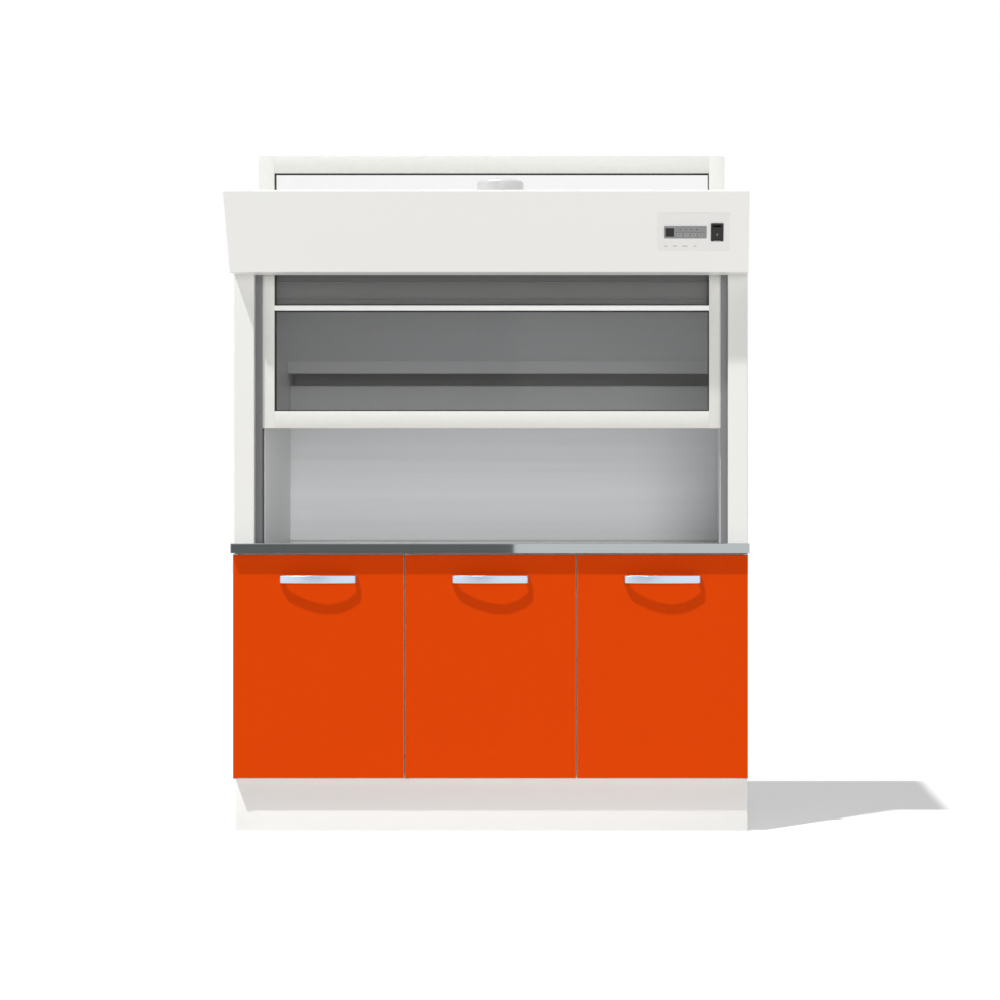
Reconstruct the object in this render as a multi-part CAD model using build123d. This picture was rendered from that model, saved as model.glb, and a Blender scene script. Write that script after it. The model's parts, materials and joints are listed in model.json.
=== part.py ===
from build123d import *
from math import atan2, tan
import os

# A dental laboratory hood: a three-door base cabinet with a worktop, and over it a hood with a glazed sash
# that slides up behind a leaning header. Millimetres. X runs to the right seen from the front, Y to the rear
# and Z up. The origin is on the floor, in the middle of the hood's width and depth.

# Body
BODY_WIDTH = 1500.0  # across the doors and across the hood
BODY_DEPTH = 700.0  # from the door fronts to the rear wall
BOARD = 18.0  # cabinet boards
SHEET = 2.0  # folded steel panels
SHEET_BEND = 4.0  # outer radius of their folds
SET_GAP = 0.3  # between a panel and the pieces that it is set between

# Plinth and carcass
PLINTH_HEIGHT = 155.0
PLINTH_SETBACK = 40.0  # behind the door fronts
PLINTH_REAR_GAP = 20.0  # ahead of the rear wall
CARCASS_HEIGHT = 660.0
BACK_PANEL = 8.0
BACK_PANEL_INSET = 20.0  # ahead of the carcass's rear edge
BACK_GROOVE = 8.0  # depth of the grooves that hold the back panel
TOP_RAIL_DEPTH = 80.0
SHELF_HEIGHT = 300.0  # underside, above the carcass floor
SHELF_SETBACK = 25.0  # behind the carcass front
SHELF_END_GAP = 1.0
SHELF_PIN_RADIUS = 2.5
SHELF_PIN_IN_BOARD = 8.0
SHELF_PIN_PROUD = 10.0
SHELF_PIN_EDGE = 60.0  # from the shelf's front and rear edges

# Doors and their pivots
DOORS = (("left", -1), ("middle", -1), ("right", 1))  # each with the side that it is hung on
DOOR_THICKNESS = 18.0
DOOR_GAP = 3.0  # between neighbours
DOOR_BACK_GAP = 3.5  # between a door and the carcass
DOOR_FOOT_GAP = 4.0  # above the plinth
DOOR_HEAD_GAP = 6.0  # below the worktop
DOOR_EDGE_RADIUS = 1.2
PIVOT_EDGE = 5.0  # pin axis, from the hung edge
PIVOT_FACE = 5.0  # pin axis, behind the door front
PIVOT_PIN_RADIUS = 2.5
PIVOT_PIN_LENGTH = 12.0
PIVOT_CLEARANCE = 0.05
PIVOT_PLATE = 2.0
PIVOT_PLATE_GAP = 0.5  # between a plate and the door's edge
PIVOT_PLATE_WIDTH = 14.0
PIVOT_PLATE_LEG = 30.0

# Bow handles
HANDLE_LENGTH = 225.0
HANDLE_HEIGHT = 22.0
HANDLE_REACH = 37.0  # in the middle, from the door front
HANDLE_SHOULDER = 20.0  # at the ends, from the door front
HANDLE_THICKNESS = 4.0
HANDLE_FOOT = 9.0
HANDLE_CORNER = 15.0
HANDLE_DROP = 71.0  # centre line, below the door's top edge
HANDLE_SCREW_RADIUS = 2.0
HANDLE_SCREW_DEPTH = 12.0
HANDLE_SCREW_HEAD = 4.5
HANDLE_EDGE_RADIUS = 1.0

# Worktop
WORKTOP_THICKNESS = 28.0
WORKTOP_SIDE_OVERHANG = 4.0
WORKTOP_FRONT_OVERHANG = 25.0
WORKTOP_EDGE_RADIUS = 2.5

# Hood: posts, guides, panels
HOOD_OPENING = 785.0  # from the worktop to the header's underside
POST_WIDTH = 58.0
POST_CORNER = 3.0
GUIDE_SETBACK = 26.5  # front lip, behind the post's front face
GUIDE_LIP = 20.0
GUIDE_LIP_THICKNESS = 3.0
GUIDE_WEB = 2.0
SASH_FACE_GAP = 3.0  # between a sash face and the guide lip
LINER = 4.0
LINER_STEP = 2.0  # liner face, inside the lip's edge
PANEL_FLANGE = 22.0

# Baffles behind the working chamber
BAFFLE_DEPTH = 590.0  # lower baffle, behind the door fronts
BAFFLE_HEIGHT = 487.0  # lower baffle, above the worktop
LIP_AHEAD = 55.0  # upper baffle's lip, ahead of the lower baffle
LIP_HEIGHT = 38.0
SLOT_HEIGHT = 36.0  # from the lower baffle's top to the lip's bottom
LIP_RETURN = 12.0
CEILING_RISE = 124.0  # upper baffle, from the lip to the pocket panel
POCKET_GAP = 4.0  # between the sash and the panels before and behind it
BEAD_HEIGHTS = (34.0, 84.0)  # swaged beads, above the pocket panel's lower edge
BEAD_RADIUS = 4.0
BEAD_PROUD = 1.5

# Header
HEADER_REACH = 51.0  # lower front edge, ahead of the door fronts
HEADER_LEAN = 120.0  # upper front edge, further ahead
HEADER_HEIGHT = 224.0
HEADER_FLANGE = 15.0

# Exhaust
SPIGOT_RADIUS = 71.5
SPIGOT_WALL = 1.5
SPIGOT_HEIGHT = 92.0  # above the roof
SPIGOT_FLANGE = 20.0
SPIGOT_DEPTH = 440.0  # axis, behind the door fronts
CAP_RISE = 19.0
CAP_WALL = 2.0
CAP_KNUCKLE = 10.0
CAP_RIM = 12.0

# Sash
SASH_SIDE_GAP = 7.5  # between a stile and the guide's web, where the cable runs
SASH_HEIGHT = 798.0
SASH_DEPTH = 28.0
SASH_RAISED = 337.0  # lower edge above the worktop, as shown
STILE_WIDTH = 45.0
RAIL_HEIGHT = 50.0
BAR_HEIGHT = 14.6
BAR_CENTRE = 352.6  # above the sash's lower edge
PROFILE_WALL = 2.0
GLASS = 5.0
GLAZING_GROOVE = 8.0  # width
FRAME_GROOVE = 10.0  # depth in stiles and rails
BAR_GROOVE = 5.0  # depth in the glazing bar
GLASS_EDGE_GAP = 1.0  # between the glass and the groove's bottom
GASKET_PROUD = 3.0
GLIDE_HEIGHT = 40.0
GLIDE_PLACES = (20.0, 330.0)  # lower ends, above the sash's lower edge
GLIDE_CLEARANCE = 0.3

# Counterbalance
CABLE_RADIUS = 1.25
PULLEY_PITCH_RADIUS = 17.0
PULLEY_RADIUS = 20.0
PULLEY_WIDTH = 8.0
PULLEY_RIM = 1.4
GROOVE_FLOOR = 2.8
GROOVE_CLEARANCE = 0.1
PULLEY_BELOW_ROOF = 60.0
AXLE_RADIUS = 4.0
AXLE_CLEARANCE = 0.05
SPACER_RADIUS = 7.0
SPACER_GAP = 0.3
WEIGHT_GAP = 4.0  # between a counterweight and its post
WEIGHT_LENGTH = 308.0
WEIGHT_BELOW_PULLEY = 380.0
WEIGHT_CHAMFER = 3.0

# Control panel
CONTROL_INSET = 159.0  # centre, from the header's right end
CONTROL_RISE = 110.0  # centre, above the header's underside
PLATE_SIZE = (208.0, 117.0)
PLATE_THICKNESS = 1.5
PLATE_CORNER = 4.0
CUTOUT_GAP = 0.3
KEYPAD_X = -24.0  # centre, from the plate's centre
KEYPAD_SIZE = (122.0, 37.0)
KEYPAD_FLANGE = 2.5
KEYPAD_BODY_DEPTH = 12.0
BEZEL_MARGIN = 3.0
BEZEL_CORNER = 2.0
WINDOW_X = -44.6  # centre, from the keypad's centre
WINDOW_SIZE = (24.4, 26.0)
WINDOW_THICKNESS = 2.0
KEY_NAMES = ("key_1", "key_2", "key_3", "key_4")
KEY_ROW = (14.0, -6.5)  # centre of the row, from the keypad's centre
KEY_PITCH = 20.5
KEY_SIZE = (15.0, 12.0)
KEY_FLANGE = 1.0
KEY_FLANGE_THICKNESS = 1.5
KEY_PROUD = 1.2
KEY_TRAVEL = 1.5
KEY_CLEARANCE = 0.25
KEY_EDGE_RADIUS = 0.6
ROCKER_X = 67.5  # centre, from the plate's centre
ROCKER_FRAME_WALL = 3.0
ROCKER_FRAME_DEPTH = 22.0
ROCKER_WIDTH = 23.4
ROCKER_LENGTH = 39.5
ROCKER_THICKNESS = 8.0
ROCKER_DISH = 2.5
ROCKER_END_GAP = 1.75
ROCKER_SIDE_GAP = 0.3
ROCKER_PIVOT_DEPTH = 2.0  # below the fascia's surface
ROCKER_AXLE_RADIUS = 2.0
ROCKER_AXLE_LENGTH = 2.5
ROCKER_TILT = 7.0

# Places that follow from the sizes
SIDE = BODY_WIDTH / 2
FOLD_RECESS = SHEET_BEND / tan(atan2(HEADER_HEIGHT, HEADER_LEAN) / 2) - SHEET_BEND
DOOR_FACE = (HEADER_REACH + HEADER_LEAN - FOLD_RECESS - BODY_DEPTH) / 2
REAR = DOOR_FACE + BODY_DEPTH
CARCASS_FRONT = DOOR_FACE + DOOR_THICKNESS + DOOR_BACK_GAP
CARCASS_TOP = PLINTH_HEIGHT + CARCASS_HEIGHT
CARCASS_FLOOR = PLINTH_HEIGHT + BOARD
BACK_FACE = REAR - BACK_PANEL_INSET - BACK_PANEL
WORKTOP_TOP = CARCASS_TOP + WORKTOP_THICKNESS
HEADER_BOTTOM = WORKTOP_TOP + HOOD_OPENING
HOOD_TOP = HEADER_BOTTOM + HEADER_HEIGHT
ROOF_UNDERSIDE = HOOD_TOP - SHEET
DOOR_WIDTH = (BODY_WIDTH - DOOR_GAP * (len(DOORS) - 1)) / len(DOORS)
DOOR_PITCH = DOOR_WIDTH + DOOR_GAP
DOOR_BOTTOM = PLINTH_HEIGHT + DOOR_FOOT_GAP
DOOR_TOP = CARCASS_TOP - DOOR_HEAD_GAP
SHELF_UNDERSIDE = CARCASS_FLOOR + SHELF_HEIGHT
POST_INNER = SIDE - POST_WIDTH
GUIDE_FRONT = CARCASS_FRONT + GUIDE_SETBACK
SASH_FRONT = GUIDE_FRONT + GUIDE_LIP_THICKNESS + SASH_FACE_GAP
SASH_MIDDLE = SASH_FRONT + SASH_DEPTH / 2
SASH_BACK = SASH_FRONT + SASH_DEPTH
GUIDE_REAR = SASH_BACK + SASH_FACE_GAP + GUIDE_LIP_THICKNESS
POST_REAR = 2 * SASH_MIDDLE - CARCASS_FRONT
LIP_EDGE = POST_INNER - GUIDE_LIP
LINER_FACE = LIP_EDGE - LINER_STEP
POCKET_FRONT = SASH_BACK + POCKET_GAP
POCKET_REAR = POCKET_FRONT + SHEET
HEADER_BACK_REAR = SASH_FRONT - 2 * SASH_FACE_GAP
BAFFLE_FRONT = DOOR_FACE + BAFFLE_DEPTH
BAFFLE_TOP = WORKTOP_TOP + BAFFLE_HEIGHT
LIP_FRONT = BAFFLE_FRONT - LIP_AHEAD
LIP_BOTTOM = BAFFLE_TOP + SLOT_HEIGHT
LIP_TOP = LIP_BOTTOM + LIP_HEIGHT
CEILING_FRONT = LIP_TOP + CEILING_RISE
SASH_BOTTOM = WORKTOP_TOP + SASH_RAISED
SASH_TOP = SASH_BOTTOM + SASH_HEIGHT
GUIDE_FLOOR = POST_INNER - GUIDE_WEB
SASH_SIDE = GUIDE_FLOOR - SASH_SIDE_GAP
STILE_INNER = SASH_SIDE - STILE_WIDTH
BAR_BOTTOM = SASH_BOTTOM + BAR_CENTRE - BAR_HEIGHT / 2
BAR_TOP = BAR_BOTTOM + BAR_HEIGHT
CABLE_X = (SASH_SIDE + GUIDE_FLOOR) / 2
PULLEY_X = CABLE_X + PULLEY_PITCH_RADIUS
PULLEY_Z = ROOF_UNDERSIDE - PULLEY_BELOW_ROOF
WEIGHT_X = PULLEY_X + PULLEY_PITCH_RADIUS
WEIGHT_TOP = PULLEY_Z - WEIGHT_BELOW_PULLEY


def block(x, y, z):
    """A straight-sided board or block between three pairs of limits."""
    size = (x[1] - x[0], y[1] - y[0], z[1] - z[0])
    return Pos((x[0] + x[1]) / 2, (y[0] + y[1]) / 2, (z[0] + z[1]) / 2) * Box(*size)


def rod(radius, start, end):
    """A round bar from one point to another."""
    run = Vector(*end) - Vector(*start)
    return Solid.make_cylinder(radius, run.length, Plane(origin=start, z_dir=run))


def folded(points, plane, limits, side=Side.RIGHT, thickness=SHEET):
    """A sheet folded along a path, with points on its outer face, and as long as limits say."""
    path = FilletPolyline(*points, radius=SHEET_BEND)
    section = make_face(offset(path, thickness, side=side))
    return plane.offset(limits[0]) * extrude(section, limits[1] - limits[0])


def pair(piece):
    """The right-hand piece and its mirror image on the left."""
    return {"right": piece, "left": mirror(piece, Plane.YZ)}


# Cabinet


def plinth_frame():
    """A mitred ring of boards, set back under the doors."""
    front, rear = DOOR_FACE + PLINTH_SETBACK, REAR - PLINTH_REAR_GAP
    ring = block((-SIDE, SIDE), (front, rear), (0, PLINTH_HEIGHT))
    inside = block((BOARD - SIDE, SIDE - BOARD), (front + BOARD, rear - BOARD), (0, PLINTH_HEIGHT))
    return ring - inside


def back_groove(x, z):
    """The groove that holds the back panel's edge."""
    return block(x, (BACK_FACE, BACK_FACE + BACK_PANEL), z)


def gap_centres():
    """The middle of each gap between two doors."""
    return [DOOR_PITCH * k - SIDE - DOOR_GAP / 2 for k in range(1, len(DOORS))]


def bays():
    """Left and right limits of each compartment of the carcass."""
    lefts = [BOARD - SIDE] + [x + BOARD / 2 for x in gap_centres()]
    rights = [x - BOARD / 2 for x in gap_centres()] + [SIDE - BOARD]
    return list(zip(lefts, rights))


def shelf_limits():
    """Front and rear of the shelves."""
    return CARCASS_FRONT + SHELF_SETBACK, BACK_FACE - SHELF_END_GAP


def shelf_pins():
    """Four pins under each shelf, each pushed into a board."""
    front, rear = shelf_limits()
    z = SHELF_UNDERSIDE - SHELF_PIN_RADIUS
    pins = []
    for left, right in bays():
        for y in (front + SHELF_PIN_EDGE, rear - SHELF_PIN_EDGE):
            start, end = (left - SHELF_PIN_IN_BOARD, y, z), (left + SHELF_PIN_PROUD, y, z)
            pins.append(rod(SHELF_PIN_RADIUS, start, end))
            start, end = (right - SHELF_PIN_PROUD, y, z), (right + SHELF_PIN_IN_BOARD, y, z)
            pins.append(rod(SHELF_PIN_RADIUS, start, end))
    return pins


def shelves():
    """One loose shelf in each compartment."""
    z = (SHELF_UNDERSIDE, SHELF_UNDERSIDE + BOARD)
    return [block((left + SHELF_END_GAP, right - SHELF_END_GAP), shelf_limits(), z) for left, right in bays()]


def carcass_side():
    """The right-hand side board, grooved for the back panel and drilled for shelf pins."""
    board = block((SIDE - BOARD, SIDE), (CARCASS_FRONT, REAR), (PLINTH_HEIGHT, CARCASS_TOP))
    board -= back_groove((SIDE - BOARD, SIDE - BOARD + BACK_GROOVE), (PLINTH_HEIGHT, CARCASS_TOP))
    return board - shelf_pins()


def carcass_floor():
    """The bottom board, between the sides, with the back panel's groove in its top."""
    inner = SIDE - BOARD
    board = block((-inner, inner), (CARCASS_FRONT, REAR), (PLINTH_HEIGHT, CARCASS_FLOOR))
    return board - back_groove((-inner, inner), (CARCASS_FLOOR - BACK_GROOVE, CARCASS_FLOOR))


def top_rails():
    """Two stretchers under the worktop, one at the front and one at the rear."""
    inner, z = SIDE - BOARD, (CARCASS_TOP - BOARD, CARCASS_TOP)
    front = block((-inner, inner), (CARCASS_FRONT, CARCASS_FRONT + TOP_RAIL_DEPTH), z)
    rear = block((-inner, inner), (BACK_FACE - TOP_RAIL_DEPTH, BACK_FACE), z)
    return [front, rear]


def divider(x):
    """An upright board behind a gap between doors, notched for the top rails."""
    board = block((x - BOARD / 2, x + BOARD / 2), (CARCASS_FRONT, BACK_FACE), (CARCASS_FLOOR, CARCASS_TOP))
    return board - top_rails() - shelf_pins()


def carcass_back():
    """The thin back panel, held in the grooves of the sides and the floor."""
    reach = SIDE - BOARD + BACK_GROOVE
    return block((-reach, reach), (BACK_FACE, BACK_FACE + BACK_PANEL), (CARCASS_FLOOR - BACK_GROOVE, CARCASS_TOP))


# Doors


def door_limits(index):
    """Left and right edge of a door, counted from the left."""
    left = DOOR_PITCH * index - SIDE
    return left, left + DOOR_WIDTH


def pivot_x(index, hung):
    """Where the pin of a door stands: near its left edge for -1 and near its right edge for 1."""
    left, right = door_limits(index)
    return left + PIVOT_EDGE if hung < 0 else right - PIVOT_EDGE


def handle_screws(index, radius, y):
    """Two round bars on the axes of the handle's screws."""
    left, right = door_limits(index)
    centre, reach, z = (left + right) / 2, (HANDLE_LENGTH - HANDLE_FOOT) / 2, DOOR_TOP - HANDLE_DROP
    return [rod(radius, (centre + s * reach, y[0], z), (centre + s * reach, y[1], z)) for s in (-1, 1)]


def door(index, hung):
    """A lipped board with rounded front edges, bored for its pivots and its handle's screws."""
    back = DOOR_FACE + DOOR_THICKNESS
    board = block(door_limits(index), (DOOR_FACE, back), (DOOR_BOTTOM, DOOR_TOP))
    board = fillet(board.faces().sort_by(Axis.Y)[0].edges(), DOOR_EDGE_RADIUS)
    x, y, depth = pivot_x(index, hung), DOOR_FACE + PIVOT_FACE, PIVOT_PIN_LENGTH + PIVOT_PLATE_GAP
    bore = PIVOT_PIN_RADIUS + PIVOT_CLEARANCE
    board -= rod(bore, (x, y, DOOR_TOP - depth), (x, y, DOOR_TOP))
    board -= rod(bore, (x, y, DOOR_BOTTOM), (x, y, DOOR_BOTTOM + depth))
    board -= handle_screws(index, HANDLE_SCREW_RADIUS, (DOOR_FACE, back))
    return board - handle_screws(index, HANDLE_SCREW_HEAD, (back - HANDLE_SCREW_RADIUS, back))


def bow_region(length, reach, shoulder, corner):
    """The area between a door and one line of the bow: straight ends and a shallow arc."""
    half = length / 2
    arc = ThreePointArc((-half, -shoulder), (0, -reach), (half, -shoulder))
    region = make_face(Curve() + arc + Polyline((half, -shoulder), (half, 0), (-half, 0), (-half, -shoulder)))
    corners = [v for v in region.vertices() if v.Y < -shoulder / 2]
    return fillet(corners, corner)


def handle(index):
    """A cast bow: a strip of even height that thickens into its two feet."""
    outer = bow_region(HANDLE_LENGTH, HANDLE_REACH, HANDLE_SHOULDER, HANDLE_CORNER)
    inner_length = HANDLE_LENGTH - 2 * HANDLE_FOOT
    inner_reach, inner_shoulder = HANDLE_REACH - HANDLE_THICKNESS, HANDLE_SHOULDER - HANDLE_THICKNESS
    inner = bow_region(inner_length, inner_reach, inner_shoulder, HANDLE_CORNER - HANDLE_THICKNESS)
    bow = extrude(outer - inner, HANDLE_HEIGHT)
    faces = bow.faces().sort_by(Axis.Z)
    rims = [e for f in (faces[0], faces[-1]) for e in f.edges() if e.center().Y < -HANDLE_EDGE_RADIUS]
    bow = fillet(rims, HANDLE_EDGE_RADIUS)
    left, right = door_limits(index)
    bow = Pos((left + right) / 2, DOOR_FACE, DOOR_TOP - HANDLE_DROP - HANDLE_HEIGHT / 2) * bow
    return bow - handle_screws(index, HANDLE_SCREW_RADIUS, (DOOR_FACE - HANDLE_SCREW_DEPTH, DOOR_FACE))


def pivot_plate(index, hung, up):
    """An angle plate on the carcass front with a pin into the door: up is 1 at the top and -1 below."""
    x, y, edge = pivot_x(index, hung), DOOR_FACE + PIVOT_FACE, DOOR_TOP if up > 0 else DOOR_BOTTOM
    near, far = edge + up * PIVOT_PLATE_GAP, edge + up * (PIVOT_PLATE_GAP + PIVOT_PLATE)
    foot = far - up * PIVOT_PLATE_LEG
    outer_x, inner_x = x + hung * PIVOT_EDGE, x + hung * (PIVOT_EDGE - PIVOT_PLATE_WIDTH)
    across = (min(outer_x, inner_x), max(outer_x, inner_x))
    arm = block(across, (DOOR_FACE, CARCASS_FRONT), (min(near, far), max(near, far)))
    leg = block(across, (CARCASS_FRONT - PIVOT_PLATE, CARCASS_FRONT), (min(foot, far), max(foot, far)))
    pin = rod(PIVOT_PIN_RADIUS, (x, y, near - up * PIVOT_PIN_LENGTH), (x, y, near))
    return arm + leg + pin


def pivot_plates():
    """Two plates for each door."""
    return [pivot_plate(index, hung, up) for index, (_, hung) in enumerate(DOORS) for up in (-1, 1)]


def worktop_board():
    """The board that stiffens the worktop's skin."""
    x, front = SIDE + WORKTOP_SIDE_OVERHANG - SHEET, DOOR_FACE - WORKTOP_FRONT_OVERHANG + SHEET
    return block((-x, x), (front, REAR - SHEET), (CARCASS_TOP, WORKTOP_TOP - SHEET))


def worktop_skin():
    """A steel sheet folded down on all four sides, with softened upper edges and front corners."""
    x, front = SIDE + WORKTOP_SIDE_OVERHANG, DOOR_FACE - WORKTOP_FRONT_OVERHANG
    skin = block((-x, x), (front, REAR), (CARCASS_TOP, WORKTOP_TOP))
    rim = skin.faces().sort_by(Axis.Z)[-1].edges() + skin.faces().sort_by(Axis.Y)[0].edges().filter_by(Axis.Z)
    return fillet(rim, WORKTOP_EDGE_RADIUS) - worktop_board()


# Hood


def pulley_slot():
    """The opening in post and guide that the right-hand pulley runs in."""
    y = (SASH_MIDDLE - PULLEY_WIDTH, SASH_MIDDLE + PULLEY_WIDTH)
    reach = PULLEY_RADIUS + GUIDE_LIP_THICKNESS
    return block((LIP_EDGE, POST_INNER + SHEET), y, (PULLEY_Z - reach, PULLEY_Z + reach))


def post():
    """The right-hand corner post: a square-cornered tube that the counterweight hangs in."""
    width, depth, height = POST_WIDTH, POST_REAR - CARCASS_FRONT, ROOF_UNDERSIDE - WORKTOP_TOP
    section = RectangleRounded(width, depth, POST_CORNER)
    section -= Rectangle(width - 2 * SHEET, depth - 2 * SHEET)
    tube = Pos(SIDE - width / 2, SASH_MIDDLE, WORKTOP_TOP) * extrude(section, height)
    bore = AXLE_RADIUS + AXLE_CLEARANCE
    tube -= rod(bore, (PULLEY_X, CARCASS_FRONT, PULLEY_Z), (PULLEY_X, POST_REAR, PULLEY_Z))
    return tube - pulley_slot()


def guide():
    """The right-hand guide: a channel whose two lips hold the sash."""
    z = (WORKTOP_TOP, ROOF_UNDERSIDE)
    channel = block((LIP_EDGE, POST_INNER), (GUIDE_FRONT, GUIDE_REAR), z)
    inside = (GUIDE_FRONT + GUIDE_LIP_THICKNESS, GUIDE_REAR - GUIDE_LIP_THICKNESS)
    channel -= block((LIP_EDGE, GUIDE_FLOOR), inside, z)
    return channel - pulley_slot()


def side_panel():
    """The right-hand outer skin, from the post to the rear, with a flange behind the post."""
    points = [(SIDE - PANEL_FLANGE, POST_REAR), (SIDE, POST_REAR), (SIDE, REAR)]
    return folded(points, Plane.XY, (WORKTOP_TOP, ROOF_UNDERSIDE), Side.LEFT)


def liner():
    """The right-hand wall of the working chamber."""
    return block((LINER_FACE, LINER_FACE + LINER), (GUIDE_REAR, REAR - SHEET), (WORKTOP_TOP, ROOF_UNDERSIDE))


def lower_baffle():
    """The chamber's rear panel, folded back along its foot and its head."""
    rear = BAFFLE_FRONT + PANEL_FLANGE
    points = [(rear, WORKTOP_TOP), (BAFFLE_FRONT, WORKTOP_TOP), (BAFFLE_FRONT, BAFFLE_TOP), (rear, BAFFLE_TOP)]
    x = LINER_FACE - SET_GAP
    return folded(points, Plane.YZ, (-x, x))


def upper_baffle():
    """The sloping ceiling, which ends in an upright lip over the exhaust slot."""
    points = [
        (LIP_FRONT + LIP_RETURN, LIP_BOTTOM),
        (LIP_FRONT, LIP_BOTTOM),
        (LIP_FRONT, LIP_TOP),
        (POCKET_REAR, CEILING_FRONT),
        (POCKET_REAR, CEILING_FRONT + PANEL_FLANGE),
    ]
    x = LINER_FACE - SET_GAP
    return folded(points, Plane.YZ, (-x, x))


def pocket_panel():
    """The upright sheet behind the raised sash, stiffened by two swaged beads."""
    x = LIP_EDGE - SET_GAP
    panel = block((-x, x), (POCKET_FRONT, POCKET_REAR), (CEILING_FRONT, ROOF_UNDERSIDE))
    for rise in BEAD_HEIGHTS:
        y, z = POCKET_FRONT + BEAD_RADIUS - BEAD_PROUD, CEILING_FRONT + rise
        bead = rod(BEAD_RADIUS, (-x, y, z), (x, y, z))
        panel += bead & block((-x, x), (POCKET_FRONT - BEAD_PROUD, POCKET_REAR), (z - x, z + x))
    return panel


def rear_wall():
    """The outer back of the hood, with a flange inside each side panel."""
    x, front = SIDE - SHEET - SET_GAP, REAR - PANEL_FLANGE
    points = [(-x, front), (-x, REAR), (x, REAR), (x, front)]
    return folded(points, Plane.XY, (WORKTOP_TOP, ROOF_UNDERSIDE))


def roof_panel():
    """The flat roof, open for the sash and for the exhaust."""
    plate = block((-SIDE, SIDE), (CARCASS_FRONT, REAR), (ROOF_UNDERSIDE, HOOD_TOP))
    x = SASH_SIDE + SASH_FACE_GAP
    plate -= block((-x, x), (HEADER_BACK_REAR, POCKET_FRONT), (ROOF_UNDERSIDE, HOOD_TOP))
    y = DOOR_FACE + SPIGOT_DEPTH
    return plate - rod(SPIGOT_RADIUS - SPIGOT_WALL, (0, y, ROOF_UNDERSIDE), (0, y, HOOD_TOP))


def exhaust_spigot():
    """A tube with a flange that sits on the roof."""
    inner, top = SPIGOT_RADIUS - SPIGOT_WALL, SPIGOT_HEIGHT
    wall = Polyline((inner, 0), (SPIGOT_RADIUS + SPIGOT_FLANGE, 0), (SPIGOT_RADIUS + SPIGOT_FLANGE, SHEET),
                    (SPIGOT_RADIUS, SHEET), (SPIGOT_RADIUS, top), (inner, top), close=True)
    tube = revolve(Plane.XZ * make_face(wall), Axis.Z)
    return Pos(0, DOOR_FACE + SPIGOT_DEPTH, HOOD_TOP) * tube


def dished_end(radius, rise, knuckle):
    """Half the outline of a dished end: a small knuckle arc that runs into a wide crown arc."""
    centre = radius - knuckle
    crown = (centre**2 + rise**2 - knuckle**2) / (2 * (rise - knuckle))
    share = crown / (crown - knuckle)
    meeting = (centre * share, (crown - rise) * (share - 1))
    bend = TangentArc((radius, 0), meeting, tangent=(0, 1))
    return [bend, TangentArc(meeting, (0, rise), tangent=bend % 1)]


def spigot_cap():
    """A dished cap whose rim plugs into the spigot."""
    plug = SPIGOT_RADIUS - SPIGOT_WALL - SET_GAP
    bore, low, crown = plug - CAP_WALL, -CAP_RIM, CAP_RISE - CAP_WALL
    outside = dished_end(SPIGOT_RADIUS, CAP_RISE, CAP_KNUCKLE)
    inside = dished_end(bore, crown, CAP_KNUCKLE - (SPIGOT_RADIUS - bore))
    top = Line((0, CAP_RISE), (0, crown))
    rim = Polyline((bore, 0), (bore, low), (plug, low), (plug, 0), (SPIGOT_RADIUS, 0))
    section = make_face([edge for line in (*outside, top, *inside, rim) for edge in line.edges()])
    cap = revolve(Plane.XZ * section, Axis.Z)
    return Pos(0, DOOR_FACE + SPIGOT_DEPTH, HOOD_TOP + SPIGOT_HEIGHT) * cap


# Header


def header_points(flange):
    """The header's side outline, from its lower rear corner round the front to the upper one."""
    low_front, high_front = DOOR_FACE - HEADER_REACH, DOOR_FACE - HEADER_REACH - HEADER_LEAN
    outline = [(CARCASS_FRONT, HEADER_BOTTOM), (low_front, HEADER_BOTTOM)]
    outline += [(high_front, HOOD_TOP), (CARCASS_FRONT, HOOD_TOP)]
    if flange:
        outline.insert(0, (CARCASS_FRONT, HEADER_BOTTOM + HEADER_FLANGE))
        outline.append((CARCASS_FRONT, HOOD_TOP - HEADER_FLANGE))
    return outline


def header_fascia():
    """The leaning front, folded on into the header's underside and top, and cut for the controls."""
    x = SIDE - SHEET
    fascia = folded(header_points(True), Plane.YZ, (-x, x))
    return fascia - keypad_body(CUTOUT_GAP) - rocker_body(CUTOUT_GAP)


def header_caps():
    """The plates that close the header's two ends."""
    outline = FilletPolyline(*header_points(False), radius=SHEET_BEND, close=True)
    cap = Plane.YZ.offset(SIDE - SHEET) * extrude(make_face(outline), SHEET)
    return list(pair(cap).values())


def header_back():
    """The angle sheet between the posts that closes the header in front of the sash."""
    x = POST_INNER - SET_GAP
    points = [(CARCASS_FRONT, HEADER_BOTTOM), (HEADER_BACK_REAR, HEADER_BOTTOM)]
    points += [(HEADER_BACK_REAR, ROOF_UNDERSIDE), (HEADER_BACK_REAR - HEADER_FLANGE, ROOF_UNDERSIDE)]
    return folded(points, Plane.YZ, (-x, x), Side.LEFT)


# Controls, drawn flat on the header's leaning face


def control_plane():
    """A plane on the leaning face: X to the right, Y up the slope and Z outwards."""
    share = CONTROL_RISE / HEADER_HEIGHT
    y = DOOR_FACE - HEADER_REACH - HEADER_LEAN * share
    return Plane(
        origin=(SIDE - CONTROL_INSET, y, HEADER_BOTTOM + CONTROL_RISE),
        x_dir=(1, 0, 0),
        z_dir=(0, -HEADER_HEIGHT, -HEADER_LEAN),
    )


def panel_block(centre, size, z, corner=0.0):
    """A block on the control plane, with its four upright edges rounded."""
    outline = RectangleRounded(*size, corner) if corner else Rectangle(*size)
    raised = extrude(Pos(centre[0], centre[1], z[0]) * outline, z[1] - z[0])
    return control_plane() * raised


def inset(size, margin):
    """A size made smaller by a margin on every side."""
    return size[0] - 2 * margin, size[1] - 2 * margin


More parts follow.
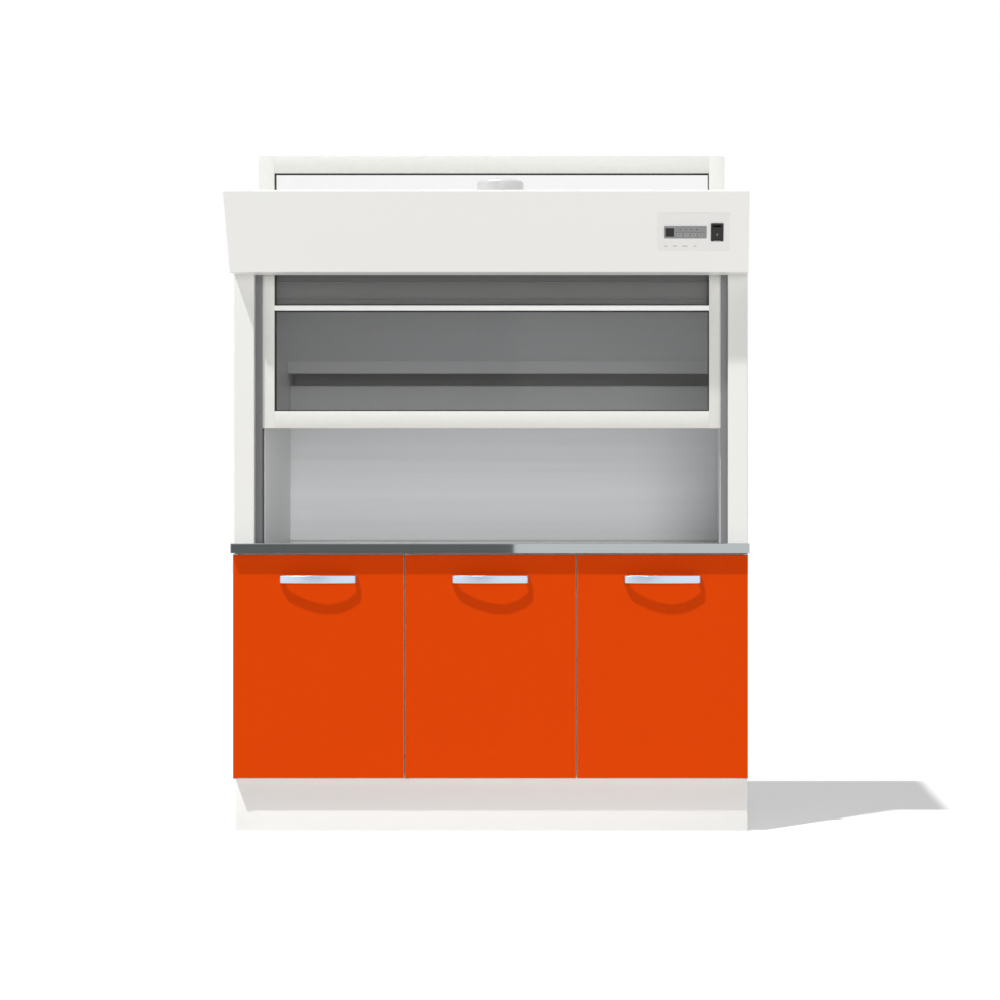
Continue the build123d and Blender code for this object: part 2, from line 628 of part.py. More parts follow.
def keypad_body(clearance=0.0):
    """The part of the keypad that passes through the plate and the fascia."""
    size = inset(KEYPAD_SIZE, BEZEL_MARGIN - clearance)
    return panel_block((KEYPAD_X, 0), size, (-KEYPAD_BODY_DEPTH, PLATE_THICKNESS))


def rocker_well():
    """Width and length of the well that the rocker tips in."""
    return ROCKER_WIDTH + 2 * ROCKER_SIDE_GAP, ROCKER_LENGTH + 2 * ROCKER_END_GAP


def rocker_body(clearance=0.0):
    """The part of the rocker's frame that passes through the plate and the fascia."""
    size = inset(rocker_well(), -ROCKER_FRAME_WALL - clearance)
    return panel_block((ROCKER_X, 0), size, (-ROCKER_FRAME_DEPTH, PLATE_THICKNESS))


def control_plate():
    """A thin plate on the fascia that carries the keypad and the rocker."""
    plate = panel_block((0, 0), PLATE_SIZE, (0, PLATE_THICKNESS), PLATE_CORNER)
    return plate - keypad_body(CUTOUT_GAP) - rocker_body(CUTOUT_GAP)


def key_centre(index):
    """Where a key lies, on the control plane."""
    along = (index - (len(KEY_NAMES) - 1) / 2) * KEY_PITCH
    return KEYPAD_X + KEY_ROW[0] + along, KEY_ROW[1]


def bezel_top():
    """The keypad bezel's outer face, above the fascia."""
    return PLATE_THICKNESS + KEYPAD_FLANGE


def key_levels():
    """Heights of a key: its foot, the top of its flange and its crown."""
    flange_top = bezel_top() - KEY_FLANGE_THICKNESS - KEY_PROUD / 2
    return flange_top - KEY_FLANGE_THICKNESS, flange_top, bezel_top() + KEY_PROUD


def key(index):
    """A square key with a softened crown and a flange that stops it under the bezel."""
    foot, flange_top, crown = key_levels()
    cap = panel_block(key_centre(index), KEY_SIZE, (foot, crown))
    cap = fillet(cap.faces().sort_by(Axis.Y)[0].edges(), KEY_EDGE_RADIUS)
    return cap + panel_block(key_centre(index), inset(KEY_SIZE, -KEY_FLANGE), (foot, flange_top))


def keypad_bezel():
    """The keypad's housing, with a recess for the display and a stepped well for each key."""
    bezel = panel_block((KEYPAD_X, 0), KEYPAD_SIZE, (PLATE_THICKNESS, bezel_top()), BEZEL_CORNER)
    bezel += keypad_body()
    bezel -= panel_block((KEYPAD_X + WINDOW_X, 0), WINDOW_SIZE, (bezel_top() - WINDOW_THICKNESS, bezel_top()))
    foot, flange_top, _ = key_levels()
    for index in range(len(KEY_NAMES)):
        mouth = inset(KEY_SIZE, -KEY_CLEARANCE)
        well = inset(KEY_SIZE, -KEY_FLANGE - KEY_CLEARANCE)
        bezel -= panel_block(key_centre(index), mouth, (foot, bezel_top()))
        bezel -= panel_block(key_centre(index), well, (foot - KEY_TRAVEL - KEY_CLEARANCE, flange_top))
    return bezel


def display_window():
    """The dark window over the display, flush with its bezel."""
    z = (bezel_top() - WINDOW_THICKNESS, bezel_top())
    return panel_block((KEYPAD_X + WINDOW_X, 0), WINDOW_SIZE, z)


def rocker_axle(radius, length):
    """A round bar across the rocker on its pivot axis."""
    reach = ROCKER_WIDTH / 2 + length
    bar = rod(radius, (ROCKER_X - reach, 0, -ROCKER_PIVOT_DEPTH), (ROCKER_X + reach, 0, -ROCKER_PIVOT_DEPTH))
    return control_plane() * bar


def rocker():
    """A dished rocker on two stub axles, shown tipped to one side."""
    half, foot = ROCKER_LENGTH / 2, ROCKER_THICKNESS / 2
    crown = PLATE_THICKNESS + KEYPAD_FLANGE + ROCKER_DISH
    outline = Polyline((-half, crown), (0, crown - ROCKER_DISH), (half, crown), (half - foot / 2, -1),
                       (foot, -ROCKER_THICKNESS), (-foot, -ROCKER_THICKNESS), (foot / 2 - half, -1), close=True)
    body = extrude(Plane.YZ * make_face(outline), ROCKER_WIDTH / 2, both=True)
    swing = Pos(ROCKER_X, 0, -ROCKER_PIVOT_DEPTH) * Rot(ROCKER_TILT, 0, 0) * Pos(0, 0, ROCKER_PIVOT_DEPTH)
    return control_plane() * swing * body + rocker_axle(ROCKER_AXLE_RADIUS, ROCKER_AXLE_LENGTH)


def rocker_frame():
    """The rocker's housing, with a well that it tips in and a bore for each stub axle."""
    flange = inset(rocker_well(), -ROCKER_FRAME_WALL - BEZEL_MARGIN)
    frame = panel_block((ROCKER_X, 0), flange, (PLATE_THICKNESS, bezel_top()), BEZEL_CORNER)
    frame += rocker_body()
    frame -= panel_block((ROCKER_X, 0), rocker_well(), (ROCKER_FRAME_WALL - ROCKER_FRAME_DEPTH, bezel_top()))
    return frame - rocker_axle(ROCKER_AXLE_RADIUS + AXLE_CLEARANCE, ROCKER_AXLE_LENGTH + SET_GAP)


# Sash


def stile():
    """The right-hand upright of the sash: a hollow profile with a glazing groove."""
    x, z, outer = STILE_INNER, (SASH_BOTTOM, SASH_TOP), SASH_SIDE
    bar = block((x, outer), (SASH_FRONT, SASH_BACK), z)
    wall = PROFILE_WALL
    cavity_y = (SASH_FRONT + wall, SASH_BACK - wall)
    bar -= block((x + FRAME_GROOVE + wall, outer - wall), cavity_y, z)
    return bar - block((x, x + FRAME_GROOVE), groove_limits(), z)


def groove_limits():
    """Front and rear of the glazing grooves."""
    return SASH_MIDDLE - GLAZING_GROOVE / 2, SASH_MIDDLE + GLAZING_GROOVE / 2


def rail(glazed, outer):
    """A rail between the stiles: glazed is the height of its glazed edge and outer that of its other edge."""
    up = 1 if outer > glazed else -1
    x, wall = (-STILE_INNER, STILE_INNER), PROFILE_WALL
    bar = block(x, (SASH_FRONT, SASH_BACK), (min(glazed, outer), max(glazed, outer)))
    hollow = sorted((glazed + up * (FRAME_GROOVE + wall), outer - up * wall))
    bar -= block(x, (SASH_FRONT + wall, SASH_BACK - wall), hollow)
    return bar - block(x, groove_limits(), sorted((glazed, glazed + up * FRAME_GROOVE)))


def glazing_bar():
    """The slim bar between the two panes, grooved above and below."""
    x = (-STILE_INNER, STILE_INNER)
    bar = block(x, (SASH_FRONT, SASH_BACK), (BAR_BOTTOM, BAR_TOP))
    bar -= block(x, groove_limits(), (BAR_BOTTOM, BAR_BOTTOM + BAR_GROOVE))
    return bar - block(x, groove_limits(), (BAR_TOP - BAR_GROOVE, BAR_TOP))


def panes():
    """For each pane, its opening's lower and upper edge and the depth of the groove at each."""
    lower = (SASH_BOTTOM + RAIL_HEIGHT, BAR_BOTTOM, FRAME_GROOVE, BAR_GROOVE)
    upper = (BAR_TOP, SASH_TOP - RAIL_HEIGHT, BAR_GROOVE, FRAME_GROOVE)
    return {"lower": lower, "upper": upper}


def glass(name):
    """A pane that stands in the grooves all round."""
    low, high, low_groove, high_groove = panes()[name]
    x = STILE_INNER + FRAME_GROOVE - GLASS_EDGE_GAP
    z = (low - low_groove + GLASS_EDGE_GAP, high + high_groove - GLASS_EDGE_GAP)
    return block((-x, x), (SASH_MIDDLE - GLASS / 2, SASH_MIDDLE + GLASS / 2), z)


def sash_gaskets():
    """A rubber ring round each pane that fills the groove and stands a little way in."""
    rings = []
    for name, (low, high, low_groove, high_groove) in panes().items():
        x, edge = STILE_INNER + FRAME_GROOVE, STILE_INNER - GASKET_PROUD
        ring = block((-x, x), groove_limits(), (low - low_groove, high + high_groove))
        ring -= block((-edge, edge), groove_limits(), (low + GASKET_PROUD, high - GASKET_PROUD))
        rings.append(ring - glass(name))
    return rings


def glide(place):
    """A right-hand nylon block on the stile that runs in the guide; the upper one clears the cable."""
    x = (SASH_SIDE, GUIDE_FLOOR - GLIDE_CLEARANCE)
    lips = (GUIDE_FRONT + GUIDE_LIP_THICKNESS, GUIDE_REAR - GUIDE_LIP_THICKNESS)
    y = (lips[0] + GLIDE_CLEARANCE, lips[1] - GLIDE_CLEARANCE)
    piece = block(x, y, (SASH_BOTTOM + place, SASH_BOTTOM + place + GLIDE_HEIGHT))
    if place > GLIDE_PLACES[0]:
        room = CABLE_RADIUS + SET_GAP
        channel = block((CABLE_X - room, x[1]), (SASH_MIDDLE - room, SASH_MIDDLE + room), (SASH_BOTTOM, SASH_TOP))
        piece -= channel
    return piece


def sash_glides():
    """Two blocks on each stile."""
    return [piece for place in GLIDE_PLACES for piece in pair(glide(place)).values()]


# Counterbalance


def pulley():
    """The right-hand grooved wheel over which the cable runs."""
    floor = PULLEY_PITCH_RADIUS - CABLE_RADIUS - GROOVE_CLEARANCE
    bore, half = AXLE_RADIUS + AXLE_CLEARANCE, PULLEY_WIDTH / 2
    mouth, bed = half - PULLEY_RIM, GROOVE_FLOOR / 2
    outline = Polyline((bore, -half), (PULLEY_RADIUS, -half), (PULLEY_RADIUS, -mouth), (floor, -bed), (floor, bed),
                       (PULLEY_RADIUS, mouth), (PULLEY_RADIUS, half), (bore, half), close=True)
    wheel = revolve(Plane.XY * make_face(outline), Axis.Y)
    return Pos(PULLEY_X, SASH_MIDDLE, PULLEY_Z) * wheel


def axle_set():
    """The right-hand axle through the post, with a spacer tube on each side of the pulley."""
    def bar(radius, front, rear):
        return rod(radius, (PULLEY_X, front, PULLEY_Z), (PULLEY_X, rear, PULLEY_Z))

    axle = bar(AXLE_RADIUS, CARCASS_FRONT, POST_REAR)
    reach = PULLEY_WIDTH / 2 + SPACER_GAP
    bore = bar(AXLE_RADIUS + AXLE_CLEARANCE, CARCASS_FRONT, POST_REAR)
    front = bar(SPACER_RADIUS, CARCASS_FRONT + SHEET, SASH_MIDDLE - reach) - bore
    rear = bar(SPACER_RADIUS, SASH_MIDDLE + reach, POST_REAR - SHEET) - bore
    return [axle, front, rear]


def pulley_axles():
    """The axles and spacers of both posts."""
    return [piece for part in axle_set() for piece in pair(part).values()]


def cable():
    """The right-hand cable: up from the sash, over the pulley and down to the counterweight."""
    low, top = SASH_BOTTOM + GLIDE_PLACES[0] + GLIDE_HEIGHT, (PULLEY_X, SASH_MIDDLE, PULLEY_Z + PULLEY_PITCH_RADIUS)
    near, far = (CABLE_X, SASH_MIDDLE, PULLEY_Z), (WEIGHT_X, SASH_MIDDLE, PULLEY_Z)
    path = Line((CABLE_X, SASH_MIDDLE, low), near) + ThreePointArc(near, top, far)
    path += Line(far, (WEIGHT_X, SASH_MIDDLE, WEIGHT_TOP))
    return sweep(Pos(CABLE_X, SASH_MIDDLE, low) * Circle(CABLE_RADIUS), path=path)


def counterweight():
    """The right-hand steel bar that hangs in the post and balances half of the sash."""
    room = SHEET + WEIGHT_GAP
    x, y = (POST_INNER + room, SIDE - room), (CARCASS_FRONT + room, POST_REAR - room)
    bar = block(x, y, (WEIGHT_TOP - WEIGHT_LENGTH, WEIGHT_TOP))
    ends = bar.faces().sort_by(Axis.Z)
    return chamfer(ends[0].edges() + ends[-1].edges(), WEIGHT_CHAMFER)


def build():
    """Every piece of the hood by its name."""
    pieces = {
        "plinth_frame": plinth_frame(),
        "carcass_floor": carcass_floor(),
        "carcass_back": carcass_back(),
        "top_rails": top_rails(),
        "shelves": shelves(),
        "shelf_pins": shelf_pins(),
        "pivot_plates": pivot_plates(),
        "worktop_skin": worktop_skin(),
        "worktop_board": worktop_board(),
        "liners": list(pair(liner()).values()),
        "lower_baffle": lower_baffle(),
        "upper_baffle": upper_baffle(),
        "pocket_panel": pocket_panel(),
        "rear_wall": rear_wall(),
        "roof_panel": roof_panel(),
        "exhaust_spigot": exhaust_spigot(),
        "spigot_cap": spigot_cap(),
        "header_fascia": header_fascia(),
        "header_caps": header_caps(),
        "header_back": header_back(),
        "control_plate": control_plate(),
        "keypad_bezel": keypad_bezel(),
        "display_window": display_window(),
        "rocker_frame": rocker_frame(),
        "rocker": rocker(),
        "pulley_axles": pulley_axles(),
        "sash_cables": list(pair(cable()).values()),
        "sash_top_rail": rail(SASH_TOP - RAIL_HEIGHT, SASH_TOP),
        "sash_bottom_rail": rail(SASH_BOTTOM + RAIL_HEIGHT, SASH_BOTTOM),
        "glazing_bar": glazing_bar(),
        "glass_upper": glass("upper"),
        "glass_lower": glass("lower"),
        "sash_gaskets": sash_gaskets(),
        "sash_glides": sash_glides(),
    }
    for name, x in zip(("divider_left", "divider_right"), gap_centres()):
        pieces[name] = divider(x)
    for index, (name, hung) in enumerate(DOORS):
        pieces[f"door_{name}"] = door(index, hung)
        pieces[f"handle_{name}"] = handle(index)
    for index, name in enumerate(KEY_NAMES):
        pieces[name] = key(index)
    twins = {
        "carcass_side": carcass_side(),
        "post": post(),
        "guide": guide(),
        "side_panel": side_panel(),
        "sash_stile": stile(),
        "pulley": pulley(),
        "counterweight": counterweight(),
    }
    for name, piece in twins.items():
        for hand, one in pair(piece).items():
            pieces[f"{name}_{hand}"] = one
    return pieces


def write(pieces):
    """One STEP file for each named piece."""
    os.makedirs("parts", exist_ok=True)
    for name, piece in pieces.items():
        shape = Compound(children=list(piece)) if isinstance(piece, list) else piece
        export_step(shape, f"parts/{name}.step")


if __name__ == "__main__":
    write(build())
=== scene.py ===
"""Looks of a dental laboratory hood: base cabinet, steel worktop, white hood, glazed sash and controls."""

import json
import math

import bmesh
import bpy
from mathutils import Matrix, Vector
from mathutils.bvhtree import BVHTree


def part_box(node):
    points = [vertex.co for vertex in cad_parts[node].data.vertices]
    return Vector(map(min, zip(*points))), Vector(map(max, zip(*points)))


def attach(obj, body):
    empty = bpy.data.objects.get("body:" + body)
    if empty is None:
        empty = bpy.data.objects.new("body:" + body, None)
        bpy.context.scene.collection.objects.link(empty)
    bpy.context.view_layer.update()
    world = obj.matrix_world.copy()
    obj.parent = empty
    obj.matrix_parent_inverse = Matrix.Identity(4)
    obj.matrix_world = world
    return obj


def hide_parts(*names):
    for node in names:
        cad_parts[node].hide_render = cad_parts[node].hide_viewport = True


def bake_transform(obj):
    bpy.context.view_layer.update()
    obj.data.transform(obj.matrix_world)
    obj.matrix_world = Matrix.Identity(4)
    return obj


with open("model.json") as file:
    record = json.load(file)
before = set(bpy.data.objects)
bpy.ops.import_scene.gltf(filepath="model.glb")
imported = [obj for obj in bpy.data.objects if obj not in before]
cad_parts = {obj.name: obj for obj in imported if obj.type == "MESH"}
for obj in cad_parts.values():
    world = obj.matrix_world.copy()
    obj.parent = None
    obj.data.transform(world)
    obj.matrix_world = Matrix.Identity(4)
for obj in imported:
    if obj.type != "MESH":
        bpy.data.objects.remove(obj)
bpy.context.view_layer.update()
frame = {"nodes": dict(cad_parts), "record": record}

bl_info = {
    "name": "Dental laboratory hood",
    "version": (1, 0, 0),
    "blender": (4, 5, 0),
    "location": "3D View > Sidebar > Hood",
    "description": "Finishes and fittings of a dental laboratory hood",
    "category": "Object",
}

MM = 0.001
NODES = frame["nodes"]
BEHAVIOUR = frame["record"]["behaviour"]
BODY_OF = {node: body for body, nodes in BEHAVIOUR["bodies"].items() for node in nodes}
SLOT_OF = {item["node"]: item["material_slot"] for item in frame["record"]["subparts"]}
SASH_FRAME = ("sash_stile_left", "sash_stile_right", "sash_top_rail", "sash_bottom_rail", "glazing_bar")
BOARDS = ("plinth_frame", "carcass_side_left", "carcass_side_right", "shelves")
KEYS = ("key_1", "key_2", "key_3", "key_4")
CONTROLS = ("keypad_bezel", "rocker_frame", "rocker", *KEYS)
HANDLES = ("handle_left", "handle_middle", "handle_right")
DOORS = ("door_left", "door_middle", "door_right")

# Pieces whose finish isn't the one that their slot names. The glazing bar's is painted light, and the posts'
# and the pocket panel's are painted shade
OWN_FINISH = {"glass_upper": "clear_glass", "pocket_panel": "pocket_grey", "glazing_bar": "bright_bar",
              "post_left": "post_white", "post_right": "post_white"}

# Door edges, told by the squares of their normals' parts from front to back and from side to side
EDGE_FACING = 0.35  # a narrow edge has less than this from front to back
SIDE_FACING = 0.7  # an upright edge has more than this from side to side
GAP_REACH = 0.6  # metres from the hood's middle; an upright edge nearer than this is at a gap between doors
# Painted light: the colour of the upright door edges at the gaps between doors, for light seen in the gaps
GAP_LIGHT_COLOUR = (0.80, 0.72, 0.66)

# Places of the colour sockets on a Mix node, which has one set of sockets for each type of data
MIX_COLOURS = (6, 7)
MIX_RESULT = 2

# Rounded edges
EDGE_SEGMENTS = 2
HANDLE_ROUNDING = 1.2  # times the rounding of the other pieces
WELD_REACH = 0.001 * MM
FLAT_ANGLE = math.radians(0.5)
BEVEL_ANGLE = math.radians(40)
SMOOTH_ANGLE = math.radians(38)

# Beads: gaskets, cables and sealant
GASKET_SIDES = 12
CABLE_SIDES = 10
CABLE_STEP = 25 * MM  # between the rings of a straight run
CABLE_ARC_STEPS = 24
SEALANT_SIDES = 16
SEALANT_SETBACK = 4 * MM

# Rivets
RIVET_EDGE = 14 * MM
RIVET_HEIGHT = 1.1 * MM
RIVET_SOCKET, RIVET_SOCKET_DEPTH = 0.4, 0.8 * MM
RIVET_SIDES = 16
RIVET_SUNK = 1.0 * MM
FLANGE_THICKNESS = 1.5 * MM
FLANGE_RIVETS, FLANGE_RIVET_INSET = 8, 9 * MM

# Shelf pin holes
PIN_ROW_INSET = 130 * MM
PIN_FRONT_INSET, PIN_REAR_INSET = 62 * MM, 75 * MM
PIN_BELOW_SHELF, PIN_ABOVE_SHELF = 12 * MM, 6 * MM
PIN_HOLE_HEIGHT = 0.12 * MM
PIN_HOLE_SOCKET, PIN_HOLE_SOCKET_DEPTH = 0.8, 0.05 * MM
PIN_HOLE_SIDES = 12

# Door bumpers
BUMPER_INSET = 9 * MM
BUMPER_HEIGHT = 2.4 * MM
BUMPER_CROWN, BUMPER_CROWN_HEIGHT = 0.6, 0.5 * MM
BUMPER_SIDES = 20

# Marks on the controls
RAY_START = 2.0  # metres in front, where the ray that looks for a surface begins
MARK_LIFT, MARK_THICKNESS = 0.06 * MM, 0.25 * MM
DOT_SIDES = 20
STROKE_LENGTH, STROKE_WIDTH, STROKE_SHIFT = 4.6 * MM, 1.1 * MM, 1.2 * MM
KEY_DOT_RADIUS = 1.7 * MM
DIGIT_SHIFT = 4.2 * MM
SEGMENT_WIDTH = 0.8 * MM
LEVEL_SEGMENT, LEVEL_STEP = 3.6 * MM, 5 * MM
UPRIGHT_SEGMENT, UPRIGHT_SHIFT, UPRIGHT_STEP = 3.8 * MM, 2.4 * MM, 2.5 * MM
KEYPAD_ROW = 9 * MM
LAMP_SHIFT, LAMP_RADIUS = 33 * MM, 1.9 * MM
KEYPAD_MARK = (5.5 * MM, 1.6 * MM)
KEYPAD_MARK_SHIFTS = (-14 * MM, 2 * MM, 17 * MM)
ROCKER_MARK = (1.3 * MM, 5.5 * MM)
ROCKER_MARK_DROP, ROCKER_MARK_LIFT = 5.5 * MM, 0.3 * MM
FRAME_STRIP = (20 * MM, 1.5 * MM)
FRAME_STRIP_RISE = 1.4 * MM
PLATE_MARK_DROP, PLATE_MARK_HEIGHT = 43 * MM, 2.2 * MM
PLATE_MARK_SHIFTS = (-80 * MM, -54 * MM, -25 * MM, 4 * MM)
PLATE_MARK_WIDTHS = (9 * MM, 12 * MM, 16 * MM, 8 * MM)

# Camera and studio, in metres and degrees
CAMERA_PLACE = (0.523, -7.7658, 0.940)
CAMERA_LENS = 92.7
CAMERA_SHIFT = (-0.17, 0.01)
CAMERA_TILT = 90  # level
SUN_DIRECTION = (0.35, 0.40, -1.0)
SUN_STRENGTH, SUN_ANGLE = 2.75, 1.6
FILL_DIRECTION = (-0.18, 1.0, -0.10)
FILL_STRENGTH, FILL_ANGLE = 1.20, 30
SKY_STRENGTH = 0.27
WHITE = (1, 1, 1, 1)
FLOOR_HALF = 30.0
FLOOR_COLOUR = (0.80, 0.80, 0.80)
FLOOR_GLOW = 0.31  # for the camera alone, which makes the floor white
CARD_GLOW = (0.20, 0.205, 0.205, 1)
CARD_BEHIND_CAMERA = 0.03
CARD_LEFT, CARD_RIGHT = -3.2, -0.385
CARD_FOOT, CARD_HEAD = 0.63, 3.6


class HoodColours(bpy.types.PropertyGroup):
    """Colours of the hood's main finishes, as linear light."""
    paint: bpy.props.FloatVectorProperty(
        name="White paint", description="Powder coat of the hood's sheets", subtype="COLOR",
        default=(0.87, 0.87, 0.845))
    # Painted shade: the posts have the hood's one white paint, made darker here for the shade they stand in
    post_shaded_paint: bpy.props.FloatVectorProperty(
        name="Post paint", description="Powder coat of the corner posts", subtype="COLOR",
        default=(0.72, 0.72, 0.695))
    boards: bpy.props.FloatVectorProperty(
        name="White boards", description="Laminate of the cabinet and its plinth", subtype="COLOR",
        default=(0.79, 0.79, 0.77))
    doors: bpy.props.FloatVectorProperty(
        name="Doors", description="Orange lacquer of the three doors", subtype="COLOR",
        default=(0.63, 0.051, 0.0005))
    door_edges: bpy.props.FloatVectorProperty(
        name="Door edges", description="Edge band round each door", subtype="COLOR",
        default=(0.52, 0.026, 0.002))
    # Part painted reflection: satin aluminium, and the blue of this colour stands for reflected light
    handles: bpy.props.FloatVectorProperty(
        name="Handles", description="Satin metal of the bow handles", subtype="COLOR",
        default=(0.70, 0.82, 0.98))
    worktop: bpy.props.FloatVectorProperty(
        name="Worktop", description="Polished steel of the worktop", subtype="COLOR",
        default=(0.48, 0.51, 0.52))
    glass: bpy.props.FloatVectorProperty(
        name="Glass", description="Grey tint of the lower sash pane", subtype="COLOR",
        default=(0.045, 0.046, 0.046))


class HoodSizes(bpy.types.PropertyGroup):
    """Sizes of the small fittings, in metres."""
    edge_round: bpy.props.FloatProperty(
        name="Edge rounding", description="Rounding of sawn and moulded edges", unit="LENGTH",
        default=0.5 * MM)
    gasket: bpy.props.FloatProperty(
        name="Gasket lip", description="Thickness of the rubber lip round a pane", unit="LENGTH",
        default=4.2 * MM)
    cable: bpy.props.FloatProperty(
        name="Cable", description="Thickness of a lifting cable", unit="LENGTH",
        default=2.5 * MM)
    sealant: bpy.props.FloatProperty(
        name="Sealant", description="Thickness of the sealant bead on the worktop", unit="LENGTH",
        default=6 * MM)
    rivet: bpy.props.FloatProperty(
        name="Rivet radius", description="Radius of a rivet's head", unit="LENGTH",
        default=3.2 * MM)
    rivet_pitch: bpy.props.FloatProperty(
        name="Rivet pitch", description="Largest distance between two rivets of a row", unit="LENGTH",
        default=150 * MM)
    pin_hole: bpy.props.FloatProperty(
        name="Pin hole radius", description="Radius of a shelf pin's hole", unit="LENGTH",
        default=2.5 * MM)
    pin_pitch: bpy.props.FloatProperty(
        name="Pin hole pitch", description="Largest distance between two shelf pin holes of a row",
        unit="LENGTH", default=32 * MM)
    bumper: bpy.props.FloatProperty(
        name="Bumper radius", description="Radius of a door's soft bumper", unit="LENGTH",
        default=4 * MM)


class Number:
    """A value in a node tree, so that shader maths reads as plain arithmetic."""

    def __init__(self, nodes, socket):
        self.nodes = nodes
        self.socket = socket

    def maths(self, operation, first, second):
        node = self.nodes.node("ShaderNodeMath", {"operation": operation}, {0: first, 1: second})
        return Number(self.nodes, node.outputs[0])

    def __add__(self, other):
        return self.maths("ADD", self, other)

    def __radd__(self, other):
        return self.maths("ADD", other, self)

    def __mul__(self, other):
        return self.maths("MULTIPLY", self, other)

    def __rmul__(self, other):
        return self.maths("MULTIPLY", other, self)

    def __lt__(self, other):
        return self.maths("LESS_THAN", self, other)

    def __gt__(self, other):
        return self.maths("GREATER_THAN", self, other)


class Nodes:
    """The nodes of a material, of the world or of a recipe for geometry."""

    def __init__(self, tree):
        self.tree = tree

    def node(self, kind, settings=None, values=None):
        """Adds a node: its type, its settings, and the values or links of its sockets."""
        node = self.tree.nodes.new(kind)
        for setting, value in (settings or {}).items():
            setattr(node, setting, value)
        for socket, value in (values or {}).items():
            self.feed(node.inputs[socket], value)
        return node

    def feed(self, target, value):
        """Links a number or another node's socket to an input, or gives it a plain value."""
        if isinstance(value, Number):
            value = value.socket
        if isinstance(value, bpy.types.NodeSocket):
            self.tree.links.new(value, target)
        else:
            target.default_value = value


class Finish(Nodes):
    """One procedural material: a Principled shader and the nodes that vary it."""

    def __init__(self, name, colour, roughness, metallic=0.0, **constants):
        self.material = bpy.data.materials.new(name)
        self.material.use_nodes = True
        super().__init__(self.material.node_tree)
        self.shader = self.tree.nodes["Principled BSDF"]
        self.colour = tuple(colour)
        self.roughness = roughness
        self.set("Base Color", (*self.colour, 1))
        self.set("Roughness", roughness)
        self.set("Metallic", metallic)
        for socket, value in constants.items():
            self.set(socket.replace("_", " "), value)

    def set(self, socket, value):
        self.feed(self.shader.inputs[socket], value)

    def place(self, stretch=(1, 1, 1)):
        """The piece's own coordinates, stretched where a grain runs one way."""
        spot = self.node("ShaderNodeTexCoord").outputs["Object"]
        return self.node("ShaderNodeMapping", {}, {"Vector": spot, "Scale": stretch}).outputs[0]

    def noise(self, scale, detail=3.0, stretch=(1, 1, 1)):
        node = self.node("ShaderNodeTexNoise", {"noise_dimensions": "3D"},
                         {"Vector": self.place(stretch), "Scale": scale, "Detail": detail})
        return Number(self, node.outputs["Fac"])

    def mix(self, share, first, second):
        """A colour between two, by a share from 0 to 1."""
        node = self.node("ShaderNodeMix", {"data_type": "RGBA"}, {"Factor": share})
        for index, colour in zip(MIX_COLOURS, (first, second)):
            linked = isinstance(colour, bpy.types.NodeSocket)
            self.feed(node.inputs[index], colour if linked else (*colour, 1))
        return node.outputs[MIX_RESULT]

    def toned(self, pattern, low):
        """Lets a pattern darken the colour, down to a share of it."""
        tone = self.mix(pattern, tuple(channel * low for channel in self.colour), self.colour)
        self.set("Base Color", tone)
        return tone

    def soiled(self, low, scale=2.3):
        """Gives the colour the faint cloudiness of handling and cleaning."""
        return self.toned(self.noise(scale, detail=4.0), low)

    def uneven_gloss(self, pattern, spread):
        """Lets a pattern vary the roughness round the finish's own value."""
        self.set("Roughness", pattern * spread + (self.roughness - spread / 2))

    def bump(self, height, depth):
        node = self.node("ShaderNodeBump", {}, {"Height": height, "Distance": depth, "Strength": 1.0})
        self.set("Normal", node.outputs[0])


def powder_coat(name, colour, roughness=0.42):
    """Baked powder paint: faint orange peel, slightly cloudy gloss."""
    finish = Finish(name, colour, roughness, Specular_IOR_Level=0.35)
    finish.soiled(low=0.975)
    finish.uneven_gloss(finish.noise(scale=5.0), spread=0.08)
    finish.bump(finish.noise(scale=620.0, detail=2.0), depth=0.05 * MM)
    return finish.material


def door_lacquer(name, colour, edge_colour):
    """Lacquered board: fine orange peel, a darker edge band, and painted light on the upright edges at the gaps
    between doors.
    """
    finish = Finish(name, colour, roughness=0.36, Specular_IOR_Level=0.04)
    own_way = finish.node("ShaderNodeTexCoord").outputs["Normal"]
    facing = finish.node("ShaderNodeSeparateXYZ", {}, {0: own_way})
    across = Number(finish, facing.outputs["X"])
    depth = Number(finish, facing.outputs["Y"])
    spot = finish.node("ShaderNodeSeparateXYZ", {}, {0: finish.place()})
    side = Number(finish, spot.outputs["X"])
    edge = (depth * depth) < EDGE_FACING
    painted_gap_light = ((across * across) > SIDE_FACING) * ((side * side) < GAP_REACH ** 2)
    banded = finish.mix(edge, finish.soiled(low=0.965, scale=1.7), edge_colour)
    # Painted light on the edges at the gaps between doors
    finish.set("Base Color", finish.mix(painted_gap_light, banded, GAP_LIGHT_COLOUR))
    finish.uneven_gloss(finish.noise(scale=6.0), spread=0.08)
    finish.bump(finish.noise(scale=480.0, detail=2.0), depth=0.05 * MM)
    return finish.material


def brushed_metal(name, colour, roughness, metallic=1.0, stretch=(3, 900, 900)):
    """Brushed or satin metal: a fine grain, long along the axis with the smallest stretch."""
    finish = Finish(name, colour, roughness, metallic)
    grain = finish.noise(scale=1.0, stretch=stretch)
    finish.toned(grain, low=0.93)
    finish.uneven_gloss(grain, spread=0.08)
    finish.bump(grain, depth=0.01 * MM)
    return finish.material


def satin_steel(name, colour, roughness, metallic):
    """Rolled sheet steel: an even satin with faint clouds from handling."""
    finish = Finish(name, colour, roughness, metallic)
    finish.soiled(low=0.96, scale=9.0)
    finish.uneven_gloss(finish.noise(scale=14.0), spread=0.06)
    return finish.material


def polished_worktop(name, colour):
    """Polished steel: almost a mirror, with long faint polishing lines."""
    finish = Finish(name, colour, roughness=0.027, metallic=1.0)
    lines = finish.noise(scale=1.0, detail=4.0, stretch=(1.2, 260, 260))
    finish.toned(lines, low=0.95)
    finish.uneven_gloss(lines, spread=0.03)
    return finish.material


